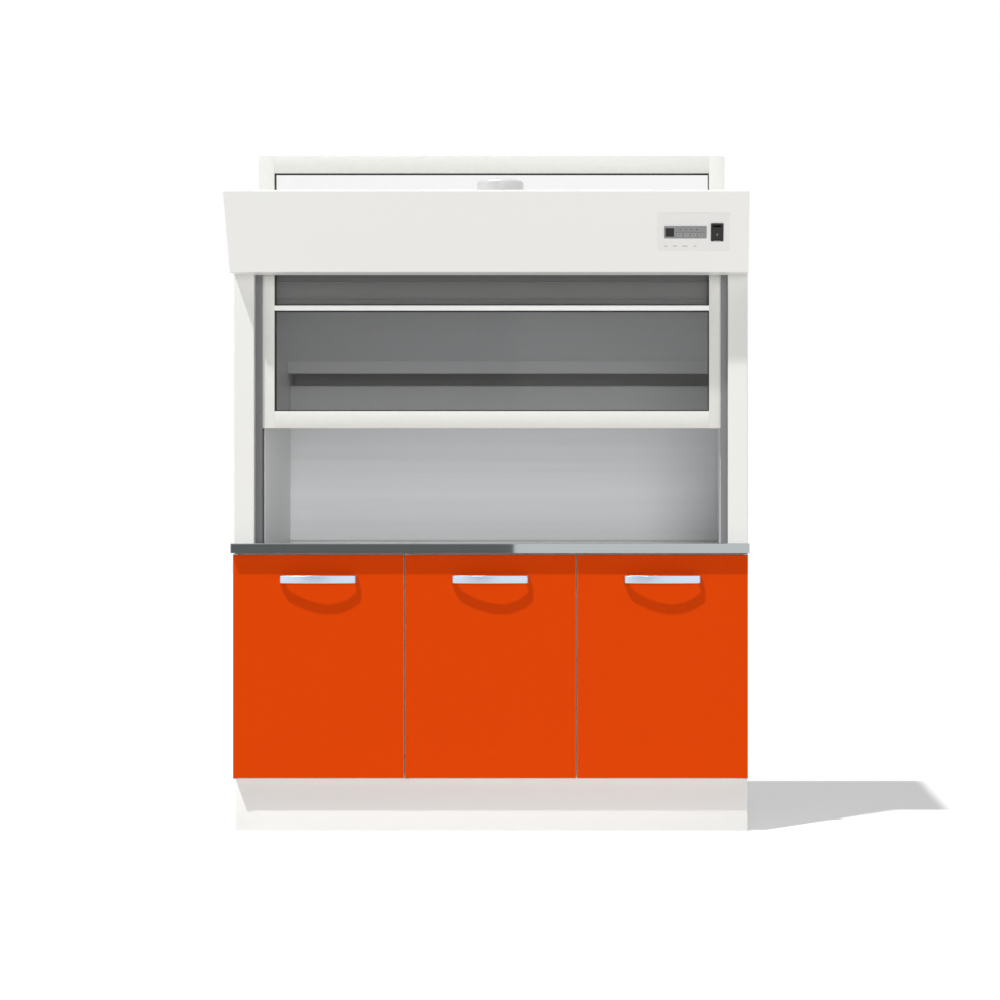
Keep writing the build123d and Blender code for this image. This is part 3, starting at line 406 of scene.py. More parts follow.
def cast_surface(name, colour, roughness, metallic=0.0, scale=900.0, depth=0.04 * MM):
    """Moulded plastic, rubber or cast metal: an even fine texture."""
    finish = Finish(name, colour, roughness, metallic)
    finish.soiled(low=0.93, scale=40.0)
    finish.uneven_gloss(finish.noise(scale=60.0), spread=0.08)
    finish.bump(finish.noise(scale, detail=2.0), depth)
    return finish.material


def board_surface(name, colour, roughness):
    """Melamine or laminate: closed pores and a slight unevenness."""
    finish = Finish(name, colour, roughness, Specular_IOR_Level=0.3)
    finish.soiled(low=0.97, scale=3.0)
    finish.uneven_gloss(finish.noise(scale=9.0), spread=0.06)
    finish.bump(finish.noise(scale=260.0, detail=4.0, stretch=(1, 1, 0.35)), depth=0.04 * MM)
    return finish.material


def baffle_sheet(name, colour):
    """Painted baffle sheets, with the faint long streaks that air and washing leave."""
    finish = Finish(name, colour, roughness=0.49, Specular_IOR_Level=0.3)
    finish.toned(finish.noise(scale=1.0, stretch=(0.7, 30, 46)), low=0.90)
    finish.uneven_gloss(finish.noise(scale=7.0), spread=0.08)
    finish.bump(finish.noise(scale=560.0, detail=2.0), depth=0.05 * MM)
    return finish.material


def chip_board(name, colour):
    """Raw particle board: pale and dark chips in glue."""
    finish = Finish(name, colour, roughness=0.8)
    chips = finish.noise(scale=170.0, detail=4.0, stretch=(1, 1, 3))
    finish.toned(chips, low=0.55)
    finish.bump(chips, depth=0.3 * MM)
    return finish.material


def tinted_glass(name, colour, cover):
    """Safety glass; the cover is the share of light that its tint holds back."""
    finish = Finish(name, colour, roughness=0.04, Alpha=cover, Specular_IOR_Level=0.35)
    finish.toned(finish.noise(scale=3.0, detail=2.0), low=0.9)
    return finish.material


def stranded_wire(name, colour):
    """Steel cable: the lay of its strands shows as slanted ridges, with painted shade darkening the grooves
    between them.
    """
    finish = Finish(name, colour, roughness=0.38, metallic=1.0)
    wave = finish.node("ShaderNodeTexWave", {"bands_direction": "DIAGONAL"},
                       {"Vector": finish.place(), "Scale": 320.0, "Distortion": 0.4})
    ridge_and_groove_shade = Number(finish, wave.outputs["Fac"])
    # Painted shade in the grooves between the strands
    finish.toned(ridge_and_groove_shade, low=0.5)
    finish.bump(ridge_and_groove_shade, depth=0.3 * MM)
    return finish.material


def make_finishes(colours):
    """One material for each material slot of the record, and those of the small fittings."""
    # Each row is what makes the material, its name, its colour, and the rest in that function's own order
    rows = (
        (powder_coat, "white_metal", colours.paint),
        # Painted shade: the posts' copy of the white paint, darker than the header's
        (powder_coat, "post_white", colours.post_shaded_paint),
        (board_surface, "white_board", colours.boards, 0.45),
        (door_lacquer, "orange_lacquer", colours.doors, colours.door_edges),
        (chip_board, "core_board", (0.52, 0.37, 0.21)),
        (polished_worktop, "worktop_steel", colours.worktop),
        # Part painted reflection: the handles' blue tint stands for reflected light on satin aluminium
        (brushed_metal, "handle_aluminium", colours.handles, 0.30),
        (brushed_metal, "sash_aluminium", (0.72, 0.72, 0.68), 0.40, 0.12, (60, 60, 60)),
        # Painted light: the glazing bar is paler than the sash frame so that it looks lit where the header
        # shades the sash
        (brushed_metal, "bright_bar", (0.95, 0.95, 0.92), 0.35, 0.05, (60, 60, 60)),
        (brushed_metal, "guide_aluminium", (0.22, 0.22, 0.23), 0.42, 0.5, (900, 900, 3)),
        (tinted_glass, "sash_glass", colours.glass, 0.33),
        (tinted_glass, "clear_glass", (0.30, 0.32, 0.31), 0.06),
        # Painted shade: the pocket panel is dark grey for the shade under the header behind the raised sash
        (powder_coat, "pocket_grey", (0.155, 0.155, 0.152)),
        (cast_surface, "gasket_rubber", (0.020, 0.020, 0.021), 0.62),
        (cast_surface, "glide_nylon", (0.55, 0.55, 0.52), 0.45),
        (board_surface, "liner_laminate", (0.86, 0.86, 0.85), 0.40),
        (baffle_sheet, "baffle_metal", (0.92, 0.92, 0.93)),
        (satin_steel, "spigot_steel", (0.80, 0.80, 0.80), 0.30, 0.35),
        (powder_coat, "plate_metal", (0.82, 0.82, 0.80), 0.52),
        (cast_surface, "keypad_grey", (0.27, 0.27, 0.27), 0.50),
        (cast_surface, "key_grey", (0.34, 0.34, 0.34), 0.55),
        (cast_surface, "display_black", (0.006, 0.006, 0.007), 0.12, 0.0, 90.0, 0.01 * MM),
        (cast_surface, "switch_black", (0.011, 0.011, 0.012), 0.34),
        (brushed_metal, "pivot_steel", (0.62, 0.62, 0.63), 0.34),
        (stranded_wire, "cable_steel", (0.58, 0.58, 0.60)),
        (cast_surface, "pulley_nylon", (0.72, 0.71, 0.66), 0.42),
        (cast_surface, "weight_steel", (0.12, 0.12, 0.13), 0.60, 0.6, 140.0, 0.2 * MM),
        (cast_surface, "sealant", (0.62, 0.62, 0.60), 0.50),
        # Painted shade: shelf pin holes are flat dark discs, not holes
        (cast_surface, "dark_hole", (0.02, 0.018, 0.016), 0.9),
        (cast_surface, "soft_bumper", (0.50, 0.50, 0.48), 0.25),
        (cast_surface, "pale_print", (0.66, 0.66, 0.66), 0.5),
        (cast_surface, "grey_print", (0.36, 0.36, 0.36), 0.5),
        (cast_surface, "dark_print", (0.03, 0.03, 0.03), 0.5),
        (cast_surface, "red_lens", (0.060, 0.010, 0.008), 0.2),
        (cast_surface, "unlit_segment", (0.030, 0.012, 0.011), 0.3),
    )
    return {name: make(name, *values) for make, name, *values in rows}


# Materials by name, which the operator for the finishes fills in
finishes = {}


def shown(name, mesh, material):
    """A new object in the scene, with its mesh and one material."""
    mesh.name = name
    mesh.materials.clear()
    mesh.materials.append(material)
    piece = bpy.data.objects.new(name, mesh)
    bpy.context.scene.collection.objects.link(piece)
    return piece


def add_piece(name, mesh, body, finish, replaced=()):
    """Puts a finished mesh in the scene, on its body and with its material."""
    piece = shown(name, mesh, finishes[finish])
    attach(piece, body)
    if replaced:
        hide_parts(*replaced)


def baked(holder):
    """The plain mesh that an object's modifiers give; the object goes."""
    bpy.context.view_layer.update()
    depsgraph = bpy.context.evaluated_depsgraph_get()
    mesh = bpy.data.meshes.new_from_object(holder.evaluated_get(depsgraph), depsgraph=depsgraph)
    bpy.data.objects.remove(holder)
    return mesh


class Recipe(Nodes):
    """A geometry node tree with named inputs, run on a mesh of points or edges."""

    def __init__(self, name, inputs):
        super().__init__(bpy.data.node_groups.new(name, "GeometryNodeTree"))
        face = self.tree.interface
        face.new_socket(name="Geometry", in_out="INPUT", socket_type="NodeSocketGeometry")
        self.inputs = {label: face.new_socket(name=label, in_out="INPUT", socket_type=kind)
                       for label, kind in inputs.items()}
        face.new_socket(name="Geometry", in_out="OUTPUT", socket_type="NodeSocketGeometry")
        self.start = self.tree.nodes.new("NodeGroupInput").outputs
        self.end = self.tree.nodes.new("NodeGroupOutput").inputs[0]

    def times(self, first, second):
        """The product of two numbers."""
        return self.node("ShaderNodeMath", {"operation": "MULTIPLY"}, {0: first, 1: second}).outputs[0]

    def close(self, geometry):
        """Ends the tree: instances made real, flat shading, then the material."""
        real = self.node("GeometryNodeRealizeInstances", {}, {0: geometry})
        flat = self.node("GeometryNodeSetShadeSmooth", {}, {0: real.outputs[0], "Shade Smooth": False})
        last = self.node("GeometryNodeSetMaterial", {},
                         {0: flat.outputs[0], "Material": self.start["Material"]})
        self.tree.links.new(last.outputs[0], self.end)

    def run(self, mesh, finish, **values):
        """The plain mesh that the recipe gives. The values are its inputs by name, with _ for a space."""
        holder = bpy.data.objects.new("holder", mesh)
        bpy.context.scene.collection.objects.link(holder)
        modifier = holder.modifiers.new("Recipe", "NODES")
        modifier.node_group = self.tree
        modifier[self.inputs["Material"].identifier] = finishes[finish]
        for label, value in values.items():
            modifier[self.inputs[label.replace("_", " ")].identifier] = value
        return baked(holder)


def sweep_recipe():
    """A round bead along the mesh's edges."""
    recipe = Recipe("Bead along edges", {"Thickness": "NodeSocketFloat", "Sides": "NodeSocketInt",
                                         "Material": "NodeSocketMaterial"})
    path = recipe.node("GeometryNodeMeshToCurve", {}, {"Mesh": recipe.start["Geometry"]})
    half = recipe.times(recipe.start["Thickness"], 0.5)
    ring = recipe.node("GeometryNodeCurvePrimitiveCircle", {},
                       {"Resolution": recipe.start["Sides"], "Radius": half})
    bead = recipe.node("GeometryNodeCurveToMesh", {},
                       {"Curve": path.outputs[0], "Profile Curve": ring.outputs[0], "Fill Caps": True})
    recipe.close(bead.outputs[0])
    return recipe


def head_recipe():
    """A round head at each point, turned to the point's own direction, with a sunk or raised middle."""
    recipe = Recipe("Heads on points", {"Radius": "NodeSocketFloat", "Height": "NodeSocketFloat",
                                        "Socket share": "NodeSocketFloat", "Socket depth": "NodeSocketFloat",
                                        "Sides": "NodeSocketInt", "Material": "NodeSocketMaterial"})
    head = recipe.node("GeometryNodeMeshCylinder", {},
                       {"Vertices": recipe.start["Sides"], "Radius": recipe.start["Radius"],
                        "Depth": recipe.start["Height"]})
    rim = recipe.node("GeometryNodeExtrudeMesh", {"mode": "FACES"},
                      {"Mesh": head.outputs["Mesh"], "Selection": head.outputs["Top"], "Offset Scale": 0.0})
    inner = recipe.node("GeometryNodeScaleElements", {"domain": "FACE"},
                        {"Geometry": rim.outputs["Mesh"], "Selection": rim.outputs["Top"],
                         "Scale": recipe.start["Socket share"]})
    inward = recipe.times(recipe.start["Socket depth"], -1.0)
    sunk = recipe.node("GeometryNodeExtrudeMesh", {"mode": "FACES"},
                       {"Mesh": inner.outputs[0], "Selection": rim.outputs["Top"], "Offset Scale": inward})
    half = recipe.times(recipe.start["Height"], 0.5)
    lift = recipe.node("ShaderNodeCombineXYZ", {}, {"Z": half})
    seated = recipe.node("GeometryNodeTransform", {},
                         {"Geometry": sunk.outputs[0], "Translation": lift.outputs[0]})
    facing = recipe.node("GeometryNodeInputNamedAttribute", {"data_type": "FLOAT_VECTOR"}, {"Name": "facing"})
    turn = recipe.node("FunctionNodeAlignRotationToVector", {"axis": "Z"}, {"Vector": facing.outputs[0]})
    heads = recipe.node("GeometryNodeInstanceOnPoints", {},
                        {"Points": recipe.start["Geometry"], "Instance": seated.outputs[0],
                         "Rotation": turn.outputs[0]})
    recipe.close(heads.outputs[0])
    return recipe


def point_mesh(spots):
    """A mesh of points, each with the direction that its head faces."""
    mesh = bpy.data.meshes.new("spots")
    mesh.from_pydata([spot for spot, _ in spots], [], [])
    facing = mesh.attributes.new("facing", "FLOAT_VECTOR", "POINT")
    facing.data.foreach_set("vector", [value for _, way in spots for value in way])
    return mesh


def edge_mesh(loops):
    """A mesh of edges only: each loop is (points, closed)."""
    points, edges = [], []
    for loop, closed in loops:
        first = len(points)
        points += loop
        edges += [(first + i, first + i + 1) for i in range(len(loop) - 1)]
        if closed:
            edges.append((first + len(loop) - 1, first))
    mesh = bpy.data.meshes.new("path")
    mesh.from_pydata(points, edges, [])
    return mesh


def spaced(low, high, pitch):
    """Even places from low to high, no further apart than the pitch."""
    count = max(1, math.ceil((high - low) / pitch))
    return [low + (high - low) * i / count for i in range(count + 1)]


def border(across, along, pitch):
    """Places of rivets round a panel's border. Each of its two sides is (low end, high end)."""
    across = (across[0] + RIVET_EDGE, across[1] - RIVET_EDGE)
    along = (along[0] + RIVET_EDGE, along[1] - RIVET_EDGE)
    rows = [(a, b) for a in spaced(*across, pitch) for b in along]
    return rows + [(a, b) for b in spaced(*along, pitch)[1:-1] for a in across]


def softened(node, width):
    """A copy of a node's mesh, merged, with its edges rounded and its faces smooth."""
    source = NODES[node].data
    mesh = bpy.data.meshes.new(node)
    mesh.from_pydata([v.co.copy() for v in source.vertices], [], [tuple(p.vertices) for p in source.polygons])
    work = bmesh.new()
    work.from_mesh(mesh)
    bmesh.ops.remove_doubles(work, verts=work.verts, dist=WELD_REACH)
    bmesh.ops.dissolve_limit(work, angle_limit=FLAT_ANGLE, verts=work.verts, edges=work.edges)
    work.to_mesh(mesh)
    work.free()
    holder = bpy.data.objects.new("holder", mesh)
    bpy.context.scene.collection.objects.link(holder)
    bevel = holder.modifiers.new("Edge rounding", "BEVEL")
    bevel.width = width
    bevel.segments = EDGE_SEGMENTS
    bevel.limit_method = "ANGLE"
    bevel.angle_limit = BEVEL_ANGLE
    result = baked(holder)
    result.shade_smooth()
    result.set_sharp_from_angle(angle=SMOOTH_ANGLE)
    return result


def press_axes():
    """The controls' outward, sideways and upward directions, from the way a key moves."""
    press = next(joint for joint in BEHAVIOUR["joints"] if joint["name"] == "key_1_press")
    outward = -Vector(press["axis"]).normalized()
    sideways = Vector((1, 0, 0))
    return outward, sideways, outward.cross(sideways)


def slope_place(node):
    """Where a node's outer face is on the leaning panel: sideways, upward and outward from the origin."""
    outward, sideways, upward = press_axes()
    corners = [v.co for v in NODES[node].data.vertices]
    reach = max(corner.dot(outward) for corner in corners)
    across = [corner.dot(sideways) for corner in corners]
    along = [corner.dot(upward) for corner in corners]
    return (min(across) + max(across)) / 2, (min(along) + max(along)) / 2, reach


def ground_reach(node, a, b):
    """How far outward a node's surface is at one place on the leaning panel."""
    outward, sideways, upward = press_axes()
    mesh = NODES[node].data
    tree = BVHTree.FromPolygons([v.co for v in mesh.vertices], [tuple(p.vertices) for p in mesh.polygons])
    start = sideways * a + upward * b + outward * RAY_START
    spot = tree.ray_cast(start, -outward)[0]
    if spot is None:
        raise RuntimeError(f"{node} has no surface at that place")
    return spot.dot(outward)


def slope_marks(name, node, marks, finish):
    """Flat raised marks on a node of the leaning panel. Each is (outline points, reach of its ground)."""
    outward, sideways, upward = press_axes()
    work = bmesh.new()
    for outline, reach in marks:
        rings = []
        for height in (reach + MARK_LIFT - MARK_THICKNESS, reach + MARK_LIFT):
            rings.append([work.verts.new(sideways * a + upward * b + outward * height) for a, b in outline])
        low, high = rings
        work.faces.new(high)
        work.faces.new(low[::-1])
        for i in range(len(low)):
            j = (i + 1) % len(low)
            work.faces.new((low[i], low[j], high[j], high[i]))
    bmesh.ops.recalc_face_normals(work, faces=work.faces)
    mesh = bpy.data.meshes.new(name)
    work.to_mesh(mesh)
    work.free()
    add_piece(name, mesh, BODY_OF[node], finish)


def bar(a, b, width, height):
    """A rectangle's outline round a centre."""
    w, h = width / 2, height / 2
    return [(a - w, b - h), (a + w, b - h), (a + w, b + h), (a - w, b + h)]


def dot(a, b, radius):
    """A disc's outline round a centre."""
    turns = [2 * math.pi * i / DOT_SIDES for i in range(DOT_SIDES)]
    return [(a + radius * math.cos(t), b + radius * math.sin(t)) for t in turns]


def key_outlines(key, a, b):
    """A key's own mark: a cross, a level stroke, a dot or two upright strokes."""
    if key == "key_3":
        return [dot(a, b, KEY_DOT_RADIUS)]
    if key == "key_4":
        return [bar(a + shift, b, STROKE_WIDTH, STROKE_LENGTH) for shift in (-STROKE_SHIFT, STROKE_SHIFT)]
    level = bar(a, b, STROKE_LENGTH, STROKE_WIDTH)
    return [level, bar(a, b, STROKE_WIDTH, STROKE_LENGTH)] if key == "key_1" else [level]


def digit_outlines(a, b):
    """The seven segments of one digit."""
    level = [bar(a, b + rise, LEVEL_SEGMENT, SEGMENT_WIDTH) for rise in (-LEVEL_STEP, 0, LEVEL_STEP)]
    upright = [bar(a + shift, b + rise, SEGMENT_WIDTH, UPRIGHT_SEGMENT)
               for shift in (-UPRIGHT_SHIFT, UPRIGHT_SHIFT) for rise in (-UPRIGHT_STEP, UPRIGHT_STEP)]
    return level + upright


class HOOD_OT_finishes(bpy.types.Operator):
    """Make the finishes and give them to the pieces that keep their own shape"""
    bl_idname = "hood.finishes"
    bl_label = "Finishes"
    bl_options = {"REGISTER", "UNDO"}

    def execute(self, context):
        finishes.update(make_finishes(context.scene.hood_colours))
        for name, node in NODES.items():
            node.data.materials.clear()
            node.data.materials.append(finishes[OWN_FINISH.get(name, SLOT_OF[name])])
        return {"FINISHED"}


class HOOD_OT_edges(bpy.types.Operator):
    """Round the edges of the sash frame, the cabinet's boards, the controls and the handles"""
    bl_idname = "hood.edges"
    bl_label = "Rounded edges"
    bl_options = {"REGISTER", "UNDO"}

    def execute(self, context):
        sizes = context.scene.hood_sizes
        widths = {node: sizes.edge_round for node in (*SASH_FRAME, *BOARDS, *CONTROLS)}
        widths.update({node: HANDLE_ROUNDING * sizes.edge_round for node in HANDLES})
        for node, width in widths.items():
            add_piece(f"{node}_finished", softened(node, width), BODY_OF[node],
                      OWN_FINISH.get(node, SLOT_OF[node]), (node,))
        return {"FINISHED"}


class HOOD_OT_gaskets(bpy.types.Operator):
    """Lay the rubber lips round both sides of the two panes"""
    bl_idname = "hood.gaskets"
    bl_label = "Glazing gaskets"
    bl_options = {"REGISTER", "UNDO"}

    def execute(self, context):
        sizes = context.scene.hood_sizes
        inset = sizes.gasket / 2
        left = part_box("sash_stile_left")[1].x + inset
        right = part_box("sash_stile_right")[0].x - inset
        bar_low, bar_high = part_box("glazing_bar")
        heights = ((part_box("sash_bottom_rail")[1].z, bar_low.z), (bar_high.z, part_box("sash_top_rail")[0].z))
        glass_low, glass_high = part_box("glass_lower")
        loops = []
        for low, high in heights:
            for depth in (glass_low.y - inset, glass_high.y + inset):
                corners = ((left, low + inset), (right, low + inset),
                           (right, high - inset), (left, high - inset))
                loops.append(([(x, depth, z) for x, z in corners], True))
        mesh = sweep_recipe().run(edge_mesh(loops), "gasket_rubber", Thickness=sizes.gasket,
                                  Sides=GASKET_SIDES)
        add_piece("sash_gasket_lips", mesh, BODY_OF["sash_gaskets"],
                  "gasket_rubber", ("sash_gaskets",))
        return {"FINISHED"}


class HOOD_OT_cables(bpy.types.Operator):
    """Hang the lifting cables over their pulleys, each with a straight run down towards the sash and one
    towards its counterweight
    """
    bl_idname = "hood.cables"
    bl_label = "Lifting cables"
    bl_options = {"REGISTER", "UNDO"}

    def execute(self, context):
        sizes = context.scene.hood_sizes
        recipe = sweep_recipe()
        wires = [v.co.copy() for v in NODES["sash_cables"].data.vertices]
        cabinet, slot = BODY_OF["sash_cables"], SLOT_OF["sash_cables"]
        for name, side in (("left", -1), ("right", 1)):
            low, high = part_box(f"pulley_{name}")
            hub = (low + high) / 2
            own = [spot for spot in wires if spot.x * side > 0]
            across = [abs(spot.x) for spot in own]
            radius = (max(across) - min(across) - sizes.cable) / 2
            arc = []
            for i in range(CABLE_ARC_STEPS + 1):
                turn = math.pi * i / CABLE_ARC_STEPS
                arc.append((hub.x + radius * math.cos(turn), hub.y, hub.z + radius * math.sin(turn)))
            mesh = recipe.run(edge_mesh([(arc, False)]), "cable_steel", Thickness=sizes.cable,
                              Sides=CABLE_SIDES)
            add_piece(f"cable_{name}_over_pulley", mesh, cabinet, "cable_steel", ("sash_cables",))
            for run, body, way in (("sash", "sash", -side), ("weight", f"{name}_counterweight", side)):
                x = hub.x + radius * way
                foot = min(spot.z for spot in own if (spot.x - hub.x) * way > 0)
                line = [(x, hub.y, z) for z in reversed(spaced(foot, hub.z, CABLE_STEP))]
                mesh = recipe.run(edge_mesh([(line, False)]), "cable_steel", Thickness=sizes.cable,
                                  Sides=CABLE_SIDES)
                piece = shown(f"cable_{name}_{run}_run", mesh, finishes["cable_steel"])
                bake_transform(piece)
                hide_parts("sash_cables")
        return {"FINISHED"}


class HOOD_OT_sealant(bpy.types.Operator):
    """Run the sealant outside the liners' feet and along the foot of the baffle"""
    bl_idname = "hood.sealant"
    bl_label = "Worktop sealant"
    bl_options = {"REGISTER", "UNDO"}

    def execute(self, context):
        sizes = context.scene.hood_sizes
        low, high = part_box("liners")
        side, front = high.x, low.y + SEALANT_SETBACK
        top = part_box("worktop_skin")[1].z
        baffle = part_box("lower_baffle")[0].y
        route = [(-side, front, top), (-side, baffle, top), (side, baffle, top), (side, front, top)]
        mesh = sweep_recipe().run(edge_mesh([(route, False)]), "sealant", Thickness=sizes.sealant,
                                  Sides=SEALANT_SIDES)
        add_piece("worktop_sealant", mesh, BODY_OF["liners"], "sealant")
        return {"FINISHED"}


class HOOD_OT_rivets(bpy.types.Operator):
    """Set the rivets of the side panels, the rear, the roof and the exhaust flange"""
    bl_idname = "hood.rivets"
    bl_label = "Rivets"
    bl_options = {"REGISTER", "UNDO"}

    def execute(self, context):
        sizes = context.scene.hood_sizes
        pitch = sizes.rivet_pitch
        spots = []
        for node, way in (("side_panel_left", -1), ("side_panel_right", 1)):
            low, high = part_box(node)
            face = low.x if way < 0 else high.x
            places = border((low.z, high.z), (low.y, high.y), pitch)
            spots += [((face, y, z), (way, 0, 0)) for z, y in places]
        for node, sunk in (("rear_wall", RIVET_SUNK), ("carcass_back", 0.0)):
            low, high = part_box(node)
            places = border((low.x, high.x), (low.z, high.z), pitch)
            spots += [((x, high.y - sunk, z), (0, 1, 0)) for x, z in places]
        low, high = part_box("roof_panel")
        for x in spaced(low.x + RIVET_EDGE, high.x - RIVET_EDGE, pitch):
            spots.append(((x, high.y - RIVET_EDGE, high.z), (0, 0, 1)))
        low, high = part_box("exhaust_spigot")
        centre = (low + high) / 2
        ring = (high.x - low.x) / 2 - FLANGE_RIVET_INSET
        for i in range(FLANGE_RIVETS):
            turn = 2 * math.pi * (i + 0.5) / FLANGE_RIVETS
            spots.append(((centre.x + ring * math.cos(turn), centre.y + ring * math.sin(turn),
                           low.z + FLANGE_THICKNESS), (0, 0, 1)))
        mesh = head_recipe().run(point_mesh(spots), "pivot_steel", Radius=sizes.rivet, Height=RIVET_HEIGHT,
                                 Socket_share=RIVET_SOCKET, Socket_depth=RIVET_SOCKET_DEPTH,
                                 Sides=RIVET_SIDES)
        add_piece("panel_rivets", mesh, "cabinet", "pivot_steel")
        return {"FINISHED"}


class HOOD_OT_pin_holes(bpy.types.Operator):
    """Mark the rows of shelf pin holes inside the cabinet as flat dark discs of painted shade"""
    bl_idname = "hood.pin_holes"
    bl_label = "Shelf pin holes"
    bl_options = {"REGISTER", "UNDO"}

    def execute(self, context):
        sizes = context.scene.hood_sizes
        faces = (("carcass_side_left", 1), ("divider_left", -1), ("divider_left", 1),
                 ("divider_right", -1), ("divider_right", 1), ("carcass_side_right", -1))
        shelf_low, shelf_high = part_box("shelves")
        spots = []
        for node, way in faces:
            low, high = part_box(node)
            face = high.x if way > 0 else low.x
            for z in spaced(low.z + PIN_ROW_INSET, high.z - PIN_ROW_INSET, sizes.pin_pitch):
                if z < shelf_low.z - PIN_BELOW_SHELF or z > shelf_high.z + PIN_ABOVE_SHELF:
                    spots += [((face, y, z), (way, 0, 0))
                              for y in (low.y + PIN_FRONT_INSET, high.y - PIN_REAR_INSET)]
        mesh = head_recipe().run(point_mesh(spots), "dark_hole", Radius=sizes.pin_hole,
                                 Height=PIN_HOLE_HEIGHT, Socket_share=PIN_HOLE_SOCKET,
                                 Socket_depth=PIN_HOLE_SOCKET_DEPTH, Sides=PIN_HOLE_SIDES)
        add_piece("shelf_pin_holes", mesh, "cabinet", "dark_hole")
        return {"FINISHED"}


class HOOD_OT_bumpers(bpy.types.Operator):
    """Stick the soft bumpers on the backs of the doors"""
    bl_idname = "hood.bumpers"
    bl_label = "Door bumpers"
    bl_options = {"REGISTER", "UNDO"}

    def execute(self, context):
        sizes = context.scene.hood_sizes
        recipe = head_recipe()
        for door in DOORS:
            low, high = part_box(door)
            free_side = low.x + BUMPER_INSET if door == "door_right" else high.x - BUMPER_INSET
            spots = [((free_side, high.y, z), (0, 1, 0))
                     for z in (low.z + BUMPER_INSET, high.z - BUMPER_INSET)]
            mesh = recipe.run(point_mesh(spots), "soft_bumper", Radius=sizes.bumper, Height=BUMPER_HEIGHT,
                              Socket_share=BUMPER_CROWN, Socket_depth=-BUMPER_CROWN_HEIGHT,
                              Sides=BUMPER_SIDES)
            add_piece(f"{door}_bumpers", mesh, BODY_OF[door], "soft_bumper")
        return {"FINISHED"}


class HOOD_OT_legends(bpy.types.Operator):
    """Print the plain marks on the keys, the rocker and the plate, and the display's unlit digits"""
    bl_idname = "hood.legends"
    bl_label = "Marks on the controls"
    bl_options = {"REGISTER", "UNDO"}

    def execute(self, context):
        for key in KEYS:
            a, b, reach = slope_place(key)
            marks = [(outline, reach) for outline in key_outlines(key, a, b)]
            slope_marks(f"{key}_mark", key, marks, "dark_print")
        a, b, reach = slope_place("display_window")
        digits = [(outline, reach) for shift in (-DIGIT_SHIFT, DIGIT_SHIFT)
                  for outline in digit_outlines(a + shift, b)]
        slope_marks("display_digits", "display_window", digits, "unlit_segment")
        a, b, reach = slope_place("keypad_bezel")
        row = b + KEYPAD_ROW
        lamp = [(dot(a + LAMP_SHIFT, row, LAMP_RADIUS), reach)]
        slope_marks("keypad_lamp", "keypad_bezel", lamp, "red_lens")
        small = [(bar(a + shift, row, *KEYPAD_MARK), reach) for shift in KEYPAD_MARK_SHIFTS]
        slope_marks("keypad_marks", "keypad_bezel", small, "dark_print")
        a, b, _ = slope_place("rocker")
        b -= ROCKER_MARK_DROP
        sign = [(bar(a, b, *ROCKER_MARK), ground_reach("rocker", a, b) + ROCKER_MARK_LIFT)]
        slope_marks("rocker_mark", "rocker", sign, "pale_print")
        upward = press_axes()[2]
        foot = min(v.co.dot(upward) for v in NODES["rocker_frame"].data.vertices) + FRAME_STRIP_RISE
        strip = [(bar(a, foot, *FRAME_STRIP), ground_reach("rocker_frame", a, foot))]
        slope_marks("rocker_frame_strip", "rocker_frame", strip, "grey_print")
        a, b, reach = slope_place("control_plate")
        under = [(bar(a + shift, b - PLATE_MARK_DROP, width, PLATE_MARK_HEIGHT), reach)
                 for shift, width in zip(PLATE_MARK_SHIFTS, PLATE_MARK_WIDTHS)]
        slope_marks("plate_marks", "control_plate", under, "grey_print")
        return {"FINISHED"}


def set_camera(scene):
    """A level camera in front of the doors, right of the middle."""
    lens = bpy.data.cameras.new("camera")
    lens.lens = CAMERA_LENS
    lens.shift_x, lens.shift_y = CAMERA_SHIFT
    camera = bpy.data.objects.new("camera", lens)
    camera.location = CAMERA_PLACE
    camera.rotation_euler = (math.radians(CAMERA_TILT), 0, 0)
    scene.collection.objects.link(camera)
    scene.camera = camera


def set_lamps(scene):
    """A key lamp from above, and a soft lamp from the front that shows in no reflection."""
    for name, way, strength, angle in (("key_light", SUN_DIRECTION, SUN_STRENGTH, SUN_ANGLE),
                                       ("front_fill", FILL_DIRECTION, FILL_STRENGTH, FILL_ANGLE)):
        lamp = bpy.data.lights.new(name, "SUN")
        lamp.energy = strength
        lamp.angle = math.radians(angle)
        sun = bpy.data.objects.new(name, lamp)
        sun.rotation_mode = "QUATERNION"
        sun.rotation_quaternion = Vector(way).to_track_quat("-Z", "Y")
        sun.visible_glossy = name == "key_light"
        scene.collection.objects.link(sun)


def set_world(scene):
    """A low even sky, which is white where the camera, a reflection or a pane shows it."""
    world = bpy.data.worlds.new("studio")
    world.use_nodes = True
    world.node_tree.nodes.clear()
    sky = Nodes(world.node_tree)
    rays = sky.node("ShaderNodeLightPath").outputs
    either = rays["Is Camera Ray"]
    for ray in ("Is Glossy Ray", "Is Transmission Ray"):
        either = sky.node("ShaderNodeMath", {"operation": "MAXIMUM"}, {0: either, 1: rays[ray]}).outputs[0]
    fill = sky.node("ShaderNodeBackground", {}, {"Color": WHITE, "Strength": SKY_STRENGTH})
    seen = sky.node("ShaderNodeBackground", {}, {"Color": WHITE, "Strength": 1.0})
    blend = sky.node("ShaderNodeMixShader", {}, {0: either, 1: fill.outputs[0], 2: seen.outputs[0]})
    sky.node("ShaderNodeOutputWorld", {}, {"Surface": blend.outputs[0]})
    scene.world = world


def stage_face(name, corners, material):
    """One flat face that is part of the stage and not of the hood."""
    mesh = bpy.data.meshes.new(name)
    mesh.from_pydata(corners, [], [tuple(range(len(corners)))])
    piece = shown(name, mesh, material)
    return piece


